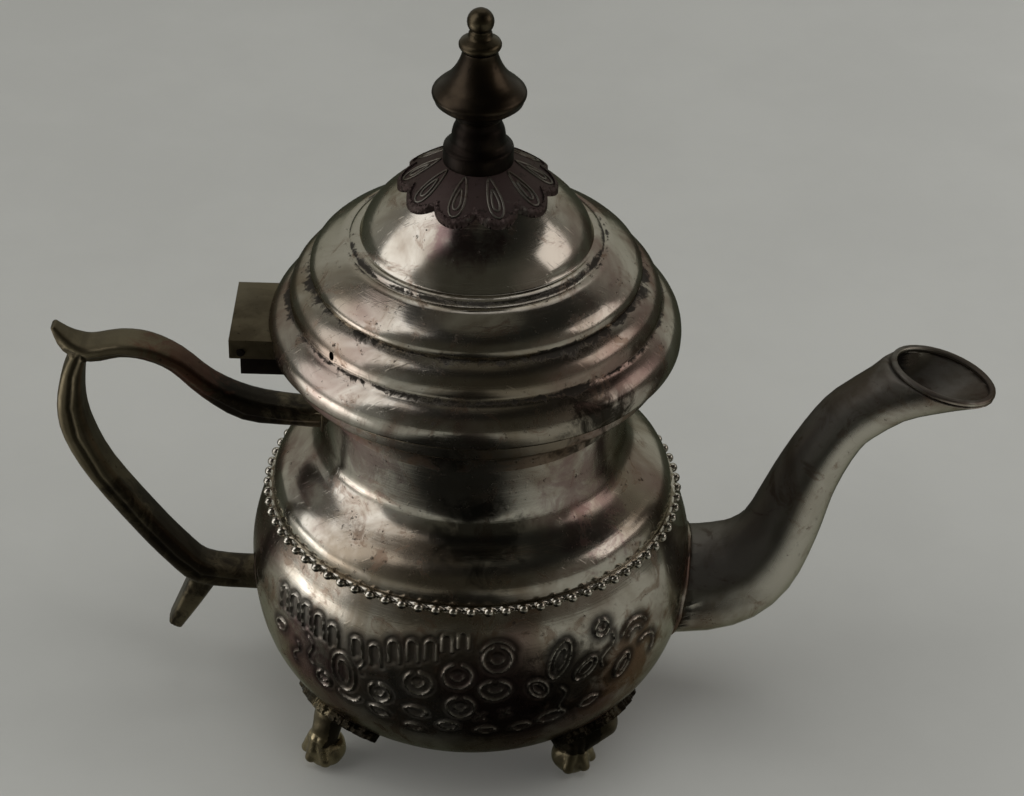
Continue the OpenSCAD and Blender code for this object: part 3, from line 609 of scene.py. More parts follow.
def plain_bowl():
    """The sheet bowl, open where the chased band covers it and drilled behind the spout."""
    angles = [math.radians(4 * step) for step in range(1, 13)]
    low_rows = [(math.sin(turn) ** (2 / FULLNESS), math.cos(turn) ** (2 / FULLNESS)) for turn in angles]
    outside = [(0, BOWL_BOTTOM)]
    outside += [(BELLY_RADIUS * across, BELLY_HEIGHT - LOWER_DEPTH * down) for across, down in low_rows]
    start = outside[-1][1]
    for low, high, rows in ((start, BAND_LOW, 6), (BAND_LOW, BAND_HIGH, 12), (BAND_HIGH, SEAM_HEIGHT, 4)):
        heights = [low + (high - low) * row / rows for row in range(1, rows + 1)]
        outside += [(bowl_radius(height), height) for height in heights]
    inside = [(0, BOWL_BOTTOM + SHEET)]
    inside += [(max(0, radius - SHEET), max(height, BOWL_BOTTOM + SHEET)) for radius, height in outside[3:]]
    bowl = turned("bowl_sheet", outside + inside[::-1])
    holes = []
    for row in range(-2, 3):
        for column in range(-2, 3):
            if abs(row) + abs(column) < 4:
                across = (column + (0.5 if row % 2 else 0)) * STRAINER_PITCH
                height = ROOT_HEIGHT + row * STRAINER_PITCH * math.sqrt(3) / 2
                middle = POT_AXIS + Vector((BELLY_RADIUS, across, height))
                holes.append(drill(middle, (1, 0, 0), STRAINER_HOLE, 28 * MM))
    cut_away(bowl, holes)
    delete_where(bowl, lambda place: under_band(place) and not in_spout_root(place, ROOT_RADIUS - 0.8 * MM))
    return shown_for(smooth(bowl), "bowl")


def under_band(place):
    """Whether a place is on the bowl's outer face between the edges of the chased band."""
    from_axis = math.hypot(place.x - POT_AXIS.x, place.y)
    return BAND_LOW + WELD < place.z < BAND_HIGH - WELD and from_axis > bowl_radius(place.z) - SHEET / 2


# ---- soldered joints ----


def surface_of(node):
    """A tree of a CAD node's faces, to find places on them."""
    mesh = frame["nodes"][node].data
    places = [vertex.co for vertex in mesh.vertices]
    return BVHTree.FromPolygons(places, [face.vertices for face in mesh.polygons])


RING_POINTS = 48
TOUCHING = 0.12 * MM


def contact_ring(node, base):
    """The outline of a node's footprint on the piece that carries it, as places and surface normals."""
    carrier = surface_of(base)
    touching = []
    for vertex in frame["nodes"][node].data.vertices:
        place, normal, _, _ = carrier.find_nearest(vertex.co)
        if (place - vertex.co).length < TOUCHING:
            touching.append((place.copy(), normal.copy()))
    middle = sum((place for place, _ in touching), Vector()) / len(touching)
    facing = sum((normal for _, normal in touching), Vector()).normalized()
    across = facing.cross(Vector((0, 0, 1))).normalized()
    upward = across.cross(facing)
    farthest = {}
    for place, normal in touching:
        away = place - middle
        turn = math.atan2(away.dot(upward), away.dot(across))
        slot = int((turn / (2 * math.pi) + 0.5) * RING_POINTS) % RING_POINTS
        if slot not in farthest or away.length > (farthest[slot][0] - middle).length:
            farthest[slot] = (place, normal)
    return [farthest[slot] for slot in sorted(farthest)]


def sweep(name, lines, width, resolution=3):
    """Closed round wires along lines of (place, share of the width), as one mesh."""
    path = bpy.data.curves.new(name, "CURVE")
    path.dimensions = "3D"
    path.bevel_depth = width / 2
    path.bevel_resolution = resolution
    path.use_fill_caps = True
    for line in lines:
        spline = path.splines.new("POLY")
        spline.points.add(len(line) - 1)
        spline.use_cyclic_u = True
        for point, (place, share) in zip(spline.points, line):
            point.co = (*place, 1)
            point.radius = share
    select_only(new_object(name, path))
    bpy.ops.object.convert(target="MESH")
    return weld(bpy.context.object)


def solder_bead(name, node, base, width, body="pot"):
    """An uneven bead of solder round a node's footprint."""
    ring = contact_ring(node, base)
    rng = random.Random(name)
    line = []
    for index, (place, normal) in enumerate(ring):
        before, after = ring[index - 1][0], ring[(index + 1) % len(ring)][0]
        eased_place = (before + 2 * place + after) / 4
        line.append((eased_place - 0.12 * width * normal, rng.uniform(0.8, 1.12)))
    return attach(smooth(sweep(name, [line], width), 60), body)


def spout_with_painted_shade(node):
    """A length of the soldered spout, black inside and darker on its upper back, both as painted shade, and
    darker towards its root.
    """
    spout = merged_copy(node, node + "_plated")
    edit_all(spout)
    bpy.ops.mesh.subdivide(number_cuts=1)
    bpy.ops.object.mode_set(mode="OBJECT")
    smooth(spout, 50)
    walls = BVHTree.FromObject(spout, bpy.context.evaluated_depsgraph_get())
    soil = []
    for vertex in spout.data.vertices:
        # painted shade: faces inside the bore go black and the upper back goes darker; the darkening also
        # grows towards the root
        above = vertex.co + 0.1 * MM * vertex.normal
        inside = walls.ray_cast(above, vertex.normal, SPOUT_BORE)[0] is not None
        near_root = eased((ROOT_END - (vertex.co.x - POT_AXIS.x)) / ROOT_FADE)
        shaded_side = eased((vertex.normal.dot(SPOUT_SHADED_SIDE) + 0.2) / 0.7)
        soil.append(1.0 if inside else min(1.0, 0.80 * shaded_side + 0.3 * near_root))
    mark_vertices(spout, "soil", soil)
    return shown_for(spout, node)


# ---- cast pieces ----

# middle lines of the handle in millimetres, as (distance from the pot's axis, height)
SCROLL_LINE = [(102.6, 111.3), (104.8, 105.3), (106.1, 95.3), (104.8, 85.8), (99.4, 73.3), (88.5, 56.8),
               (80.5, 46.4), (74.0, 40.2), (63.4, 38.8)]
ARM_LINE = [(43.8, 93.6), (47.8, 93.6), (59.8, 95.4), (69.8, 101.2), (77.8, 108.8), (85.0, 112.5),
            (92.0, 113.3), (100.0, 111.7), (105.6, 113.9), (109.2, 118.9)]


def line_tree(line):
    """A tree of points along one of the handle's middle lines, seen from the side."""
    points = spaced([Vector(corner) for corner in line], 0.5)[:-1]
    return near_tree([Vector((POT_AXIS.x - point.x * MM, 0, point.y * MM)) for point in points])


def recast(node, name, voxel):
    """A CAD node's shape as one soft casting of small even faces."""
    piece = merged_copy(node, name)
    piece.data.remesh_voxel_size = voxel
    piece.data.remesh_voxel_adaptivity = 0
    bpy.ops.object.voxel_remesh()
    apply_modifier("SMOOTH", factor=0.5, iterations=2)
    bpy.ops.object.shade_smooth()
    return shown_for(piece, node)


def grooved_handle():
    """The cast handle, with a groove along the scroll's sides and a ledge under the upper arm."""
    handle = recast("handle", "handle_cast", 0.42 * MM)
    scroll, arm = line_tree(SCROLL_LINE), line_tree(ARM_LINE)
    soil = []
    for vertex in handle.data.vertices:
        place = vertex.co.copy()
        flat = Vector((place.x, 0, place.z))
        near_scroll, _, from_scroll = scroll.find(flat)
        near_arm, _, from_arm = arm.find(flat)
        on_side = eased((abs(place.y) / MM - 2.6) / 1.6)
        if from_scroll < from_arm:
            groove = math.exp(-(from_scroll / (0.55 * MM)) ** 2) * on_side
            depth, darkening = 0.5 * MM * groove, 0.65 * groove
        else:
            ledge = eased((near_arm.z - place.z) / MM / 0.9 + 0.1)
            depth, darkening = 0.7 * MM * ledge * on_side, 0.45 * ledge
        vertex.co.y -= math.copysign(depth, place.y)
        # under the upper arm and in the corner where scroll and arm meet the darkening is painted shade; in
        # the groove it is dirt
        corner = eased((2.2 - (near_scroll - near_arm).length / MM) / 2.2)
        soil.append(min(1.0, darkening + 0.8 * corner))
    mark_vertices(handle, "soil", soil)
    return handle


def veined_foot(node, name, azimuth):
    """A cast foot: its leaf parted into lobes by veins, its toes and ball lumpy from the mould."""
    foot = recast(node, name, 0.34 * MM)
    soil = []
    normals = [vertex.normal.copy() for vertex in foot.data.vertices]
    for vertex, normal in zip(foot.data.vertices, normals):
        away = vertex.co - POT_AXIS
        turn = math.atan2(away.y, away.x) - math.radians(azimuth)
        across = math.hypot(away.x, away.y) * math.sin(turn)
        if vertex.co.z > LEAF_LOW and abs(across) > SHANK_HALF_WIDTH:
            from_vein = abs((abs(across) / LOBE_WIDTH) % 1 - 0.5) * LOBE_WIDTH
            vertex.co -= normal * VEIN_DEPTH * math.exp(-(from_vein / VEIN_WIDTH) ** 2)
            # the leaf is darkened whole: patina, and painted shade under the bowl
            soil.append(1.0)
        else:
            lump = fine_noise.noise(vertex.co * LUMPS_PER_METRE)
            vertex.co += normal * LUMP_HEIGHT * lump
            vertex.co.z = max(0.0, vertex.co.z)
            # darker in the casting's hollows, and as painted shade up the shank towards the bowl
            soil.append(max(0.0, -0.9 * lump, eased((vertex.co.z / MM - 9) / 4) * 0.7))
    mark_vertices(foot, "soil", soil)
    return foot


def eased_block(node, name):
    """A CAD node with its sharp edges worn round."""
    piece = merged_copy(node, name)
    apply_modifier("BEVEL", width=0.35 * MM, segments=3, limit_method="ANGLE", angle_limit=math.radians(35))
    return shown_for(smooth(piece, 30), node)


# ---- rosette ----


def petal_drops():
    """A drop-shaped wire and a smaller one inside it on every petal, laid on the rosette."""
    low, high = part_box("rosette")
    radius = (high.x - low.x) / 2
    petals = surface_of("rosette")
    lines = []
    for petal in range(PETALS):
        middle = 360 * petal / PETALS
        sideways = around_pot(1, middle + 90, 0) - POT_AXIS
        for start, end, width in DROP_WIRES:
            line = []
            for step in range(20):
                turn = 2 * math.pi * step / 20
                outward = (1 - math.cos(turn)) / 2
                side = width / 2 * math.sin(turn) * (0.35 + 0.65 * outward)
                above = around_pot(radius * (start + (end - start) * outward), middle, high.z + 5 * MM)
                place, _, _, _ = petals.ray_cast(above + side * sideways, Vector((0, 0, -1)))
                if place:
                    line.append((place + Vector((0, 0, 0.05 * MM)), 1.0))
            lines.append(line)
    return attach(smooth(sweep("rosette_drops", lines, 0.62 * MM, resolution=2), 60), "lid")


# ---- node helpers ----


def feed(tree, value, socket):
    """Gives a socket another node's output, a number, a vector or a colour."""
    if isinstance(value, bpy.types.NodeSocket):
        tree.links.new(value, socket)
    elif socket.type == "RGBA":
        socket.default_value = (*value, 1.0)
    else:
        socket.default_value = value


def maths(tree, operation, *values, clamp=False):
    """A Math node of outputs or numbers; returns its output."""
    node = tree.nodes.new("ShaderNodeMath")
    node.operation = operation
    node.use_clamp = clamp
    for value, socket in zip(values, node.inputs):
        feed(tree, value, socket)
    return node.outputs[0]


def times(tree, first, second):
    """The product of two outputs or numbers."""
    return maths(tree, "MULTIPLY", first, second)


def shifted(tree, value, by, amount=1.0):
    """A value plus some of how far another lies from one half."""
    return maths(tree, "MULTIPLY_ADD", maths(tree, "SUBTRACT", by, 0.5), amount, value)


def remap(tree, value, low, high, to_low=0.0, to_high=1.0):
    """A value turned smoothly from one range to another, and held at its ends."""
    node = tree.nodes.new("ShaderNodeMapRange")
    node.interpolation_type = "SMOOTHSTEP"
    for given, socket in zip((value, low, high, to_low, to_high), node.inputs):
        feed(tree, given, socket)
    return node.outputs["Result"]


def noise(tree, place, scale, detail=4.0, roughness=0.55, distortion=0.0):
    """Noise from 0 to 1 at a place."""
    node = tree.nodes.new("ShaderNodeTexNoise")
    labels = ("Vector", "Scale", "Detail", "Roughness", "Distortion")
    for label, given in zip(labels, (place, scale, detail, roughness, distortion)):
        feed(tree, given, node.inputs[label])
    return node.outputs["Fac"]


def mix_colour(tree, share, first, second):
    """A mix of two colours, from the first at 0 to the second at 1."""
    node = tree.nodes.new("ShaderNodeMix")
    node.data_type = "RGBA"
    for given, socket in ((share, node.inputs["Factor"]), (first, node.inputs[6]), (second, node.inputs[7])):
        feed(tree, given, socket)
    return node.outputs[2]


def layered(tree, colour, layers):
    """A colour under layers of (share, colour), each laid over the ones before."""
    for share, layer in layers:
        colour = mix_colour(tree, share, colour, layer)
    return colour


def axes(tree, place):
    """A place's X, Y and Z."""
    node = tree.nodes.new("ShaderNodeSeparateXYZ")
    feed(tree, place, node.inputs[0])
    return tuple(node.outputs)


def distance(tree, place, middle):
    """How far one place is from another."""
    node = tree.nodes.new("ShaderNodeVectorMath")
    node.operation = "DISTANCE"
    feed(tree, place, node.inputs[0])
    feed(tree, middle, node.inputs[1])
    return node.outputs["Value"]


def nearness(tree, away, reach):
    """1 where a distance is nothing, down to 0 where it is the reach or more."""
    return maths(tree, "SUBTRACT", 1.0, maths(tree, "DIVIDE", away, reach), clamp=True)


def attribute(tree, name):
    """A value marked on the vertices."""
    node = tree.nodes.new("ShaderNodeAttribute")
    node.attribute_name = name
    return node.outputs["Fac"]


# ---- shared effects ----

EFFECTS = {}


def new_effect(name, vectors, numbers, results):
    """An empty node group with these sockets; returns its tree, its inputs and its results."""
    tree = bpy.data.node_groups.new(name, "ShaderNodeTree")
    for label in vectors:
        tree.interface.new_socket(name=label, in_out="INPUT", socket_type="NodeSocketVector")
    for label, default in numbers.items():
        socket = tree.interface.new_socket(name=label, in_out="INPUT", socket_type="NodeSocketFloat")
        socket.default_value = default
    for label in results:
        tree.interface.new_socket(name=label, in_out="OUTPUT", socket_type="NodeSocketFloat")
    EFFECTS[name] = tree
    return tree, tree.nodes.new("NodeGroupInput").outputs, tree.nodes.new("NodeGroupOutput").inputs


def patches_effect():
    """Cloudy patches, small blotches and fine specks, each as a mask from 0 to 1."""
    tree, given, result = new_effect(
        "Tarnish Patches", ["Place"], {"Spread": 0.5}, ["Clouds", "Blotches", "Specks"])
    place, spread = given["Place"], given["Spread"]
    clouds = noise(tree, place, 26.0, 5.0, 0.62, 0.6)
    feed(tree, remap(tree, shifted(tree, clouds, spread), 0.40, 0.64), result["Clouds"])
    blotches = noise(tree, place, 90.0, 6.0, 0.68, 1.2)
    feed(tree, remap(tree, shifted(tree, blotches, spread), 0.54, 0.66), result["Blotches"])
    specks = remap(tree, noise(tree, place, 620.0, 3.0, 0.7), 0.60, 0.70)
    feed(tree, times(tree, specks, remap(tree, blotches, 0.45, 0.62)), result["Specks"])


def crease_effect():
    """A ragged dark line at one height, in a crease that runs round the pot: dirt, and painted shade in the
    crease.
    """
    tree, given, result = new_effect("Crease Dirt", ["Place"], {"Height": 0.1, "Width": 0.002}, ["Dirt"])
    place = given["Place"]
    away = maths(tree, "ABSOLUTE", maths(tree, "SUBTRACT", axes(tree, place)[2], given["Height"]))
    near = nearness(tree, away, given["Width"])
    ragged = shifted(tree, near, noise(tree, place, 260.0, 5.0, 0.75, 0.8), 2.2)
    broken = shifted(tree, ragged, noise(tree, place, 38.0, 3.0, 0.6), 1.6)
    feed(tree, times(tree, remap(tree, broken, 0.72, 1.02), remap(tree, near, 0.0, 0.25)), result["Dirt"])


def stain_effect():
    """A ragged stain round one place."""
    tree, given, result = new_effect("Ragged Stain", ["Place", "Middle"], {"Radius": 0.02}, ["Stain"])
    near = nearness(tree, distance(tree, given["Place"], given["Middle"]), given["Radius"])
    ragged = shifted(tree, near, noise(tree, given["Place"], 150.0, 5.0, 0.7, 0.8), 1.8)
    feed(tree, times(tree, remap(tree, ragged, 0.30, 0.75), remap(tree, near, 0.0, 0.3)), result["Stain"])


def handling_effect():
    """Heights for small dents, lathe lines that run round the axis, and scratches."""
    tree, given, result = new_effect("Handling Marks", ["Place"], {}, ["Dents", "Lathe", "Scratches"])
    place = given["Place"]
    feed(tree, noise(tree, place, 55.0, 2.0, 0.5), result["Dents"])
    across, along, upward = axes(tree, place)
    radius = maths(tree, "SQRT", maths(tree, "MULTIPLY_ADD", across, across, times(tree, along, along)))
    turned_place = tree.nodes.new("ShaderNodeCombineXYZ")
    turn = maths(tree, "ARCTAN2", along, across)
    for value, stretch, socket in zip((radius, turn, upward), (30.0, 0.05, 30.0), turned_place.inputs):
        feed(tree, times(tree, value, stretch), socket)
    feed(tree, noise(tree, turned_place.outputs[0], 60.0, 3.0, 0.6), result["Lathe"])
    slanted = tree.nodes.new("ShaderNodeMapping")
    slanted.inputs["Rotation"].default_value = (0.5, 0.9, 0.35)
    slanted.inputs["Scale"].default_value = (1.0, 14.0, 3.0)
    feed(tree, place, slanted.inputs["Vector"])
    feed(tree, remap(tree, noise(tree, slanted.outputs[0], 120.0, 2.0, 0.5), 0.62, 0.72), result["Scratches"])


def effect(tree, name, **values):
    """Places a shared effect in a material; returns its results."""
    node = tree.nodes.new("ShaderNodeGroup")
    node.node_tree = EFFECTS[name]
    for label, value in values.items():
        feed(tree, value, node.inputs[label])
    return node.outputs


# ---- materials ----


def start_material(name):
    """A new material with its Principled node and Object coordinates measured from the pot's axis."""
    material = bpy.data.materials.new(name)
    material.use_nodes = True
    tree = material.node_tree
    coordinates = tree.nodes.new("ShaderNodeTexCoord")
    centred = tree.nodes.new("ShaderNodeMapping")
    centred.inputs["Location"].default_value = tuple(-POT_AXIS)
    feed(tree, coordinates.outputs["Object"], centred.inputs["Vector"])
    return material, tree, tree.nodes["Principled BSDF"], centred.outputs[0]


def add_bump(tree, shader, layers):
    """Chained bump nodes from (height, strength, depth in metres)."""
    last = None
    for height, strength, depth in layers:
        node = tree.nodes.new("ShaderNodeBump")
        node.inputs["Strength"].default_value = strength
        node.inputs["Distance"].default_value = depth
        feed(tree, height, node.inputs["Height"])
        if last:
            feed(tree, last, node.inputs["Normal"])
        last = node.outputs["Normal"]
    feed(tree, last, shader.inputs["Normal"])


def lifted(stains, height):
    """The same stains moved up by a height in metres."""
    return [((x, y, z + height / MM), *rest) for (x, y, z), *rest in stains]


def stain_layers(tree, place, stains, settings):
    """Each stain as a layer of (share, colour)."""
    layers = []
    for middle, radius, stain, strength in stains:
        mask = effect(tree, "Ragged Stain", Place=place, Middle=Vector(middle) * MM, Radius=radius * MM)
        layers.append((times(tree, mask["Stain"], strength), getattr(settings, stain)))
    return layers


def silver_plate(name, creases=(), stains=(), wear=0.5, darkness=0.0, lathe=0.25):
    """Rubbed silver plate with tarnish clouds, purple bloom, worn-through spots, stains and black pits,
    darkened also as painted shade where its vertices or creases are marked.
    """
    plate = bpy.context.scene.pot_plate
    material, tree, shader, place = start_material(name)
    patches = effect(tree, "Tarnish Patches", Place=place, Spread=wear)
    clouds, blotches = patches["Clouds"], patches["Blotches"]
    bloom = times(tree, clouds, remap(tree, noise(tree, place, 17.0, 2.0), 0.45, 0.6))
    darkening = maths(tree, "MAXIMUM", patches["Specks"], attribute(tree, "soil"))
    for height, width in creases:
        crease = effect(tree, "Crease Dirt", Place=place, Height=height, Width=width)
        darkening = maths(tree, "MAXIMUM", darkening, crease["Dirt"])
    darkening = maths(tree, "ADD", darkening, darkness, clamp=True)
    colour = layered(tree, plate.silver, [
        (clouds, plate.tarnish),
        (times(tree, bloom, 0.8), plate.bloom),
        (times(tree, blotches, 0.55), plate.copper),
        *stain_layers(tree, place, stains, plate),
        (times(tree, attribute(tree, "rubbed"), 0.75), plate.silver),
        (times(tree, darkening, 0.95), plate.soot_and_shade),
    ])
    feed(tree, colour, shader.inputs["Base Color"])
    feed(tree, remap(tree, darkening, 0.65, 1.0, 1.0, 0.25), shader.inputs["Metallic"])
    rough = maths(tree, "MULTIPLY_ADD", maths(tree, "ADD", clouds, blotches), 0.10, plate.polish)
    rough = maths(tree, "MULTIPLY_ADD", darkening, 0.35, rough, clamp=True)
    feed(tree, rough, shader.inputs["Roughness"])
    shader.inputs["Specular IOR Level"].default_value = 0.2
    shader.inputs["Specular Tint"].default_value = (*plate.edge, 1.0)
    marks = effect(tree, "Handling Marks", Place=place)
    add_bump(tree, shader, [(marks["Dents"], 0.35, 0.0012), (marks["Lathe"], lathe, 0.00008),
                            (marks["Scratches"], 0.25, 0.00006), (darkening, 0.06, -0.00008)])
    return material


def old_metal(name, base, patina, rubbed, polish, stains=(), rub_share=0.5, relief=0.4):
    """Cast or turned brass under a patina, rubbed through in patches and stained, and darkened as painted
    shade where its vertices are marked.
    """
    material, tree, shader, place = start_material(name)
    patches = effect(tree, "Tarnish Patches", Place=place)
    rub = times(tree, remap(tree, noise(tree, place, 70.0, 4.0, 0.6), 0.52, 0.68), rub_share)
    darkening = maths(tree, "MAXIMUM", times(tree, patches["Specks"], 0.8), attribute(tree, "soil"))
    colour = layered(tree, base, [
        (patches["Clouds"], patina),
        (rub, rubbed),
        *stain_layers(tree, place, stains, bpy.context.scene.pot_brass),
        (times(tree, darkening, 0.9), bpy.context.scene.pot_plate.soot_and_shade),
    ])
    feed(tree, colour, shader.inputs["Base Color"])
    shader.inputs["Metallic"].default_value = 1.0
    rough = maths(tree, "MULTIPLY_ADD", patches["Clouds"], 0.14, polish)
    rough = maths(tree, "MULTIPLY_ADD", rub, -0.12, rough)
    rough = maths(tree, "MULTIPLY_ADD", darkening, 0.2, rough, clamp=True)
    feed(tree, rough, shader.inputs["Roughness"])
    marks = effect(tree, "Handling Marks", Place=place)
    grain = noise(tree, place, 900.0, 3.0, 0.6)
    add_bump(tree, shader, [(marks["Dents"], relief, 0.0010), (grain, relief * 0.6, 0.00010),
                            (marks["Scratches"], 0.3, 0.00006)])
    return material


def finish(piece, material):
    """Gives a piece its only material."""
    if piece.data.materials:
        for index in range(len(piece.data.materials)):
            piece.data.materials[index] = material
    else:
        piece.data.materials.append(material)


def table_material():
    """Pale painted table, faintly mottled, which the metal mirrors as dark in front of and behind the pot:
    painted shade in its reflections.
    """
    stage = bpy.context.scene.pot_stage
    material, tree, shader, place = start_material("pale table")
    rays = tree.nodes.new("ShaderNodeLightPath").outputs
    seen, mirrored = rays["Is Camera Ray"], rays["Is Glossy Ray"]
    across, along, _ = axes(tree, place)
    near_front = remap(tree, times(tree, along, -1.0), 0.0, 0.07)
    near_middle = remap(tree, maths(tree, "ABSOLUTE", maths(tree, "ADD", across, 0.02)), 0.17, 0.07)
    in_front = times(tree, times(tree, near_front, near_middle), mirrored)
    behind = times(tree, remap(tree, along, 0.02, 0.10), mirrored)
    mottle = remap(tree, noise(tree, place, 9.0, 5.0, 0.6), 0.35, 0.65, 0.0, 0.06)
    # painted shade: the table turns dark where the metal mirrors it in front of and behind the pot
    mirrored_shade = maths(tree, "MAXIMUM", in_front, behind)
    paint = layered(tree, stage.floor_colour, [
        (seen, stage.floor_seen), (mottle, BLACK), (mirrored_shade, stage.unlit_side)])
    feed(tree, paint, shader.inputs["Base Color"])
    stray = mix_colour(tree, remap(tree, across, 0.0, 0.30), stage.floor_glow, stage.right_glow)
    glare = times(tree, remap(tree, distance(tree, place, GLARE_PLACE), 0.21, 0.02), mirrored)
    glow = layered(tree, BLACK, [
        (seen, stray), (mirrored, stage.mirrored_glow), (glare, stage.floor_glare), (in_front, BLACK),
        (behind, stage.far_table)])
    feed(tree, glow, shader.inputs["Emission Color"])
    shader.inputs["Emission Strength"].default_value = 1.0
    shader.inputs["Specular IOR Level"].default_value = 0.1
    shader.inputs["Roughness"].default_value = 0.7
    add_bump(tree, shader, [(noise(tree, place, 240.0, 3.0, 0.6), 0.15, 0.0003)])
    return material


def paint_room(tree, stage):
    """A dim room, which the metal mirrors as walls at its sides, in front and behind under a dark ceiling."""
    coordinates = tree.nodes.new("ShaderNodeTexCoord")
    across, along, upward = axes(tree, coordinates.outputs["Generated"])
    low_down = remap(tree, upward, 0.65, 0.35)
    room = layered(tree, stage.unlit_side, [
        (remap(tree, upward, 0.85, 0.55), stage.near_wall),
        (remap(tree, upward, 0.94, 0.985), stage.overhead),
        (times(tree, remap(tree, across, -0.45, -0.85), low_down), stage.left_wall),
        (times(tree, remap(tree, across, 0.45, 0.85), low_down), stage.right_wall),
        (remap(tree, along, 0.25, 0.70), stage.far_wall),
    ])
    mirrored = tree.nodes.new("ShaderNodeLightPath").outputs["Is Glossy Ray"]
    feed(tree, mix_colour(tree, mirrored, stage.room_colour, room), tree.nodes["Background"].inputs["Color"])


def add_lamp(name, place, width, height, power, colour):
    """A soft rectangular lamp that faces the pot; the metal mirrors every lamp but the skylight."""
    data = bpy.data.lights.new(name, "AREA")
    data.shape = "RECTANGLE"
    data.size = width
    data.size_y = height
    data.energy = power
    data.color = colour
    lamp = new_object(name, data)
    lamp.location = place
    lamp.rotation_euler = (LAMP_AIM - Vector(place)).to_track_quat("-Z", "Y").to_euler()
    lamp.visible_glossy = name != "skylight"


# ---- operators ----


class POT_OT_body(bpy.types.Operator):
    """Spins the sheet body and its neck, chases the belly and solders the spout on"""

    bl_idname = "pot.body"
    bl_label = "Body"

    def execute(self, context):
        body_plate = silver_plate("worn silver plate", SEAM_CREASE, SHOULDER_STAINS)
        bowl_plate = silver_plate("tarnished belly plate", SEAM_CREASE, BELLY_STAINS, wear=0.54)
        bead_plate = silver_plate("rubbed bead plate", wear=0.42)
        spout_plate = silver_plate("worn spout plate")
        solder = silver_plate("grey solder", wear=0.62, darkness=0.15, lathe=0.0)
        # the collar is darkened all over as painted shade under the lid's rim
        collar_plate = silver_plate("shaded collar plate", stains=COLLAR_STAINS, wear=0.56, darkness=0.15)
        for node, plating in (("shoulder", body_plate), ("neck_collar", collar_plate)):
            _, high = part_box(node)
            finish(soil_inside(respun(node, node + "_plated"), high.z - 8 * MM, 0.5), plating)
        finish(rounded_copy("bead_ring", "bead_ring_plated"), bead_plate)
        finish(soil_inside(plain_bowl(), BELLY_HEIGHT, 0.55), bowl_plate)
        finish(chased_band(), bowl_plate)
        for node in ("spout_tube", "spout_lip"):
            finish(spout_with_painted_shade(node), spout_plate)
        finish(solder_bead("spout_solder", "spout_tube", "bowl", 2.4 * MM), solder)
        return {"FINISHED"}


class POT_OT_lid(bpy.types.Operator):
    """Spins the stepped lid and lays the petals on its dome"""

    bl_idname = "pot.lid"
    bl_label = "Lid"

    def execute(self, context):
        low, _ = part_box("lid_shell")
        creases = [(low.z + height, width) for height, width in LID_CREASES]
        lid_plate = silver_plate("pitted lid plate", creases, lifted(LID_STAINS, low.z))
        petals = silver_plate(
            "black tarnished rosette", stains=lifted(ROSETTE_STAINS, low.z), darkness=0.84, lathe=0.0)
        drops = silver_plate("rubbed petal edges", darkness=0.72, lathe=0.0)
        vent = around_pot(VENT_RADIUS, VENT_AZIMUTH, low.z + VENT_RISE)
        outward = around_pot(1, VENT_AZIMUTH, 1) - POT_AXIS
        shell = respun("lid_shell", "lid_shell_plated")
        cut_away(shell, [drill(vent, outward, VENT_DIAMETER, 12 * MM)])
        finish(soil_inside(shell, low.z, 0.4), lid_plate)
        finish(soil_inside(respun("lid_bezel", "lid_bezel_plated"), low.z, 0.4), lid_plate)
        finish(rounded_copy("rosette", "rosette_petals"), petals)
        finish(petal_drops(), drops)
        return {"FINISHED"}


class POT_OT_castings(bpy.types.Operator):
    """Casts the handle, feet and hinge in old brass and solders them on"""

    bl_idname = "pot.castings"
    bl_label = "Castings"

    def execute(self, context):
        brass = context.scene.pot_brass
        cast = old_metal(
            "aged cast brass", brass.aged_brass, brass.brown_patina, brass.aged_brass, 0.42, HANDLE_STAINS)
        dark_cast = old_metal(
            "blackened cast brass", brass.brown_patina, brass.black_patina, brass.brown_patina, 0.45)
        paw = old_metal("rubbed cast brass", brass.rubbed_brass, brass.aged_brass, brass.rubbed_brass, 0.24)
        finish(grooved_handle(), cast)
        for node, azimuth in FEET.items():
            finish(veined_foot(node, node + "_cast", azimuth), paw)
        hinge = (("hinge_body_leaf", dark_cast), ("hinge_lid_leaf", cast), ("hinge_pin", dark_cast))
        for node, metal in hinge:
            finish(eased_block(node, node + "_cast"), metal)
        finish(solder_bead("arm_solder", "handle", "shoulder", 1.8 * MM), dark_cast)
        finish(solder_bead("tail_solder", "handle", "bowl", 1.8 * MM), dark_cast)
        finish(solder_bead("hinge_solder", "hinge_body_leaf", "neck_collar", 1.2 * MM), dark_cast)
        return {"FINISHED"}


class POT_OT_finial(bpy.types.Operator):
    """Turns the finial's foot, bulb and tip"""

    bl_idname = "pot.finial"
    bl_label = "Finial"

    def execute(self, context):
        brass = context.scene.pot_brass
        bulb = old_metal("dark copper bulb", brass.dark_copper, brass.black_patina, brass.red_patina, 0.30,
                         rub_share=0.7, relief=0.15)
        foot = old_metal("black finial foot", brass.black_patina, brass.black_patina, brass.dark_copper, 0.36,
                         rub_share=0.3, relief=0.15)
        tip = old_metal("rubbed brass tip", brass.brown_patina, brass.dark_copper, brass.aged_brass, 0.3,
                        rub_share=0.7, relief=0.15)
        finish(respun("finial_bulb", "finial_bulb_turned", 96), bulb)
        finish(respun("finial_foot", "finial_foot_turned", 96), foot)
        finish(respun("finial_tip", "finial_tip_turned", 96), tip)
        for node in ("finial_stud", "finial_washer", "finial_nut"):
            finish(rounded_copy(node, node + "_turned"), tip)
        return {"FINISHED"}


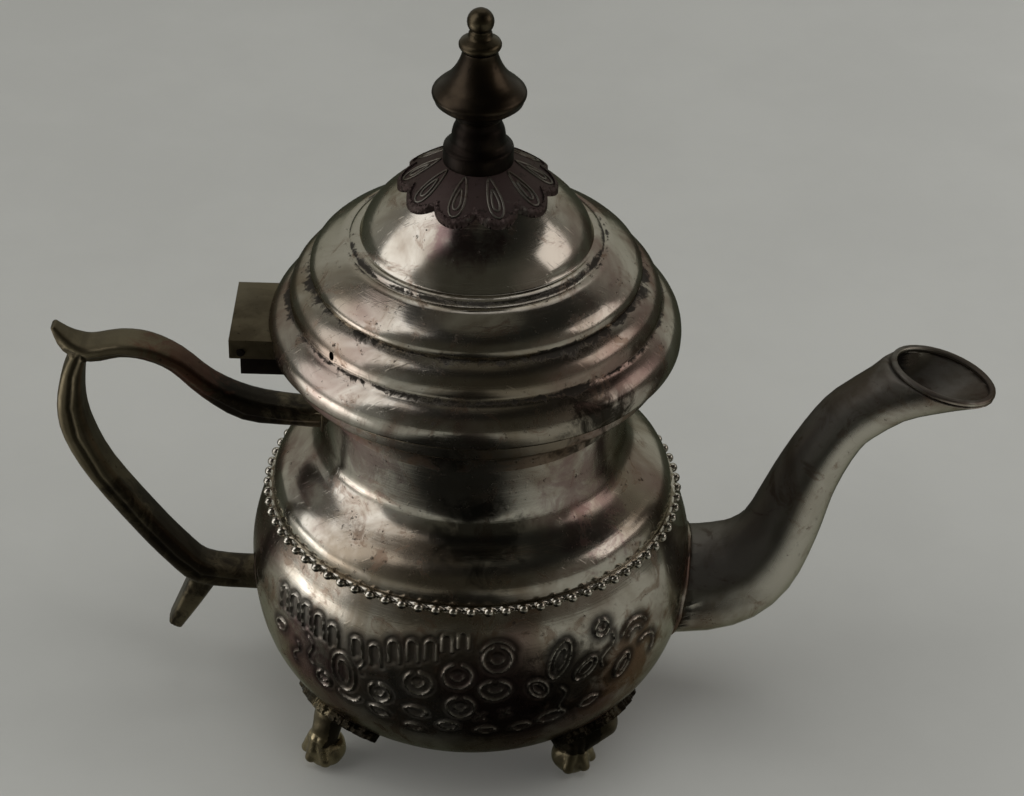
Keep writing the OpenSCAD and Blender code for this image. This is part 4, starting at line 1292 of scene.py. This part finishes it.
class POT_OT_stage(bpy.types.Operator):
    """Sets the table, the dim room, the lamps and the camera"""

    bl_idname = "pot.stage"
    bl_label = "Stage"

    def execute(self, context):
        scene = context.scene
        stage = scene.pot_stage
        select_only()
        bpy.ops.mesh.primitive_circle_add(
            vertices=96, radius=stage.floor_radius, fill_type="NGON", location=(0, 0, 0))
        table = context.object
        table.name = "table_top"
        finish(table, table_material())
        world = bpy.data.worlds.new("dim room")
        world.use_nodes = True
        paint_room(world.node_tree, stage)
        scene.world = world
        for name, setting, place, width, height, colour in LAMPS:
            add_lamp(name, place, width, height, getattr(stage, setting), colour)
        camera = bpy.data.cameras.new("camera")
        camera.sensor_width = 36.0
        camera.lens = stage.lens
        camera.clip_start = 0.01
        camera.dof.use_dof = False
        holder = new_object("camera", camera)
        tilt = Euler((math.pi / 2 - stage.camera_pitch, 0, 0)).to_matrix()
        roll = Matrix.Rotation(stage.camera_roll, 3, "Z")
        holder.matrix_world = Matrix.Translation(stage.camera_place) @ (tilt @ roll).to_4x4()
        scene.camera = holder
        scene.view_settings.view_transform = "Standard"
        return {"FINISHED"}


class POT_PT_panel(bpy.types.Panel):
    """Steps that dress the pot, in order"""

    bl_idname = "POT_PT_panel"
    bl_label = "Coffee Pot"
    bl_space_type = "VIEW_3D"
    bl_region_type = "UI"
    bl_category = "Coffee Pot"

    def draw(self, context):
        for step in STEPS:
            self.layout.operator(step.bl_idname)


STEPS = (POT_OT_body, POT_OT_lid, POT_OT_castings, POT_OT_finial, POT_OT_stage)
CLASSES = (PlateSettings, BrassSettings, StageSettings, *STEPS, POT_PT_panel)


def register():
    for kind in CLASSES:
        bpy.utils.register_class(kind)
    bpy.types.Scene.pot_plate = bpy.props.PointerProperty(type=PlateSettings)
    bpy.types.Scene.pot_brass = bpy.props.PointerProperty(type=BrassSettings)
    bpy.types.Scene.pot_stage = bpy.props.PointerProperty(type=StageSettings)


def unregister():
    del bpy.types.Scene.pot_stage
    del bpy.types.Scene.pot_brass
    del bpy.types.Scene.pot_plate
    for kind in reversed(CLASSES):
        bpy.utils.unregister_class(kind)


def dress_pot():
    """Runs every step in order."""
    register()
    for make_effect in (patches_effect, crease_effect, stain_effect, handling_effect):
        make_effect()
    bpy.ops.pot.body()
    bpy.ops.pot.lid()
    bpy.ops.pot.castings()
    bpy.ops.pot.finial()
    bpy.ops.pot.stage()


if __name__ == "__main__":
    dress_pot()
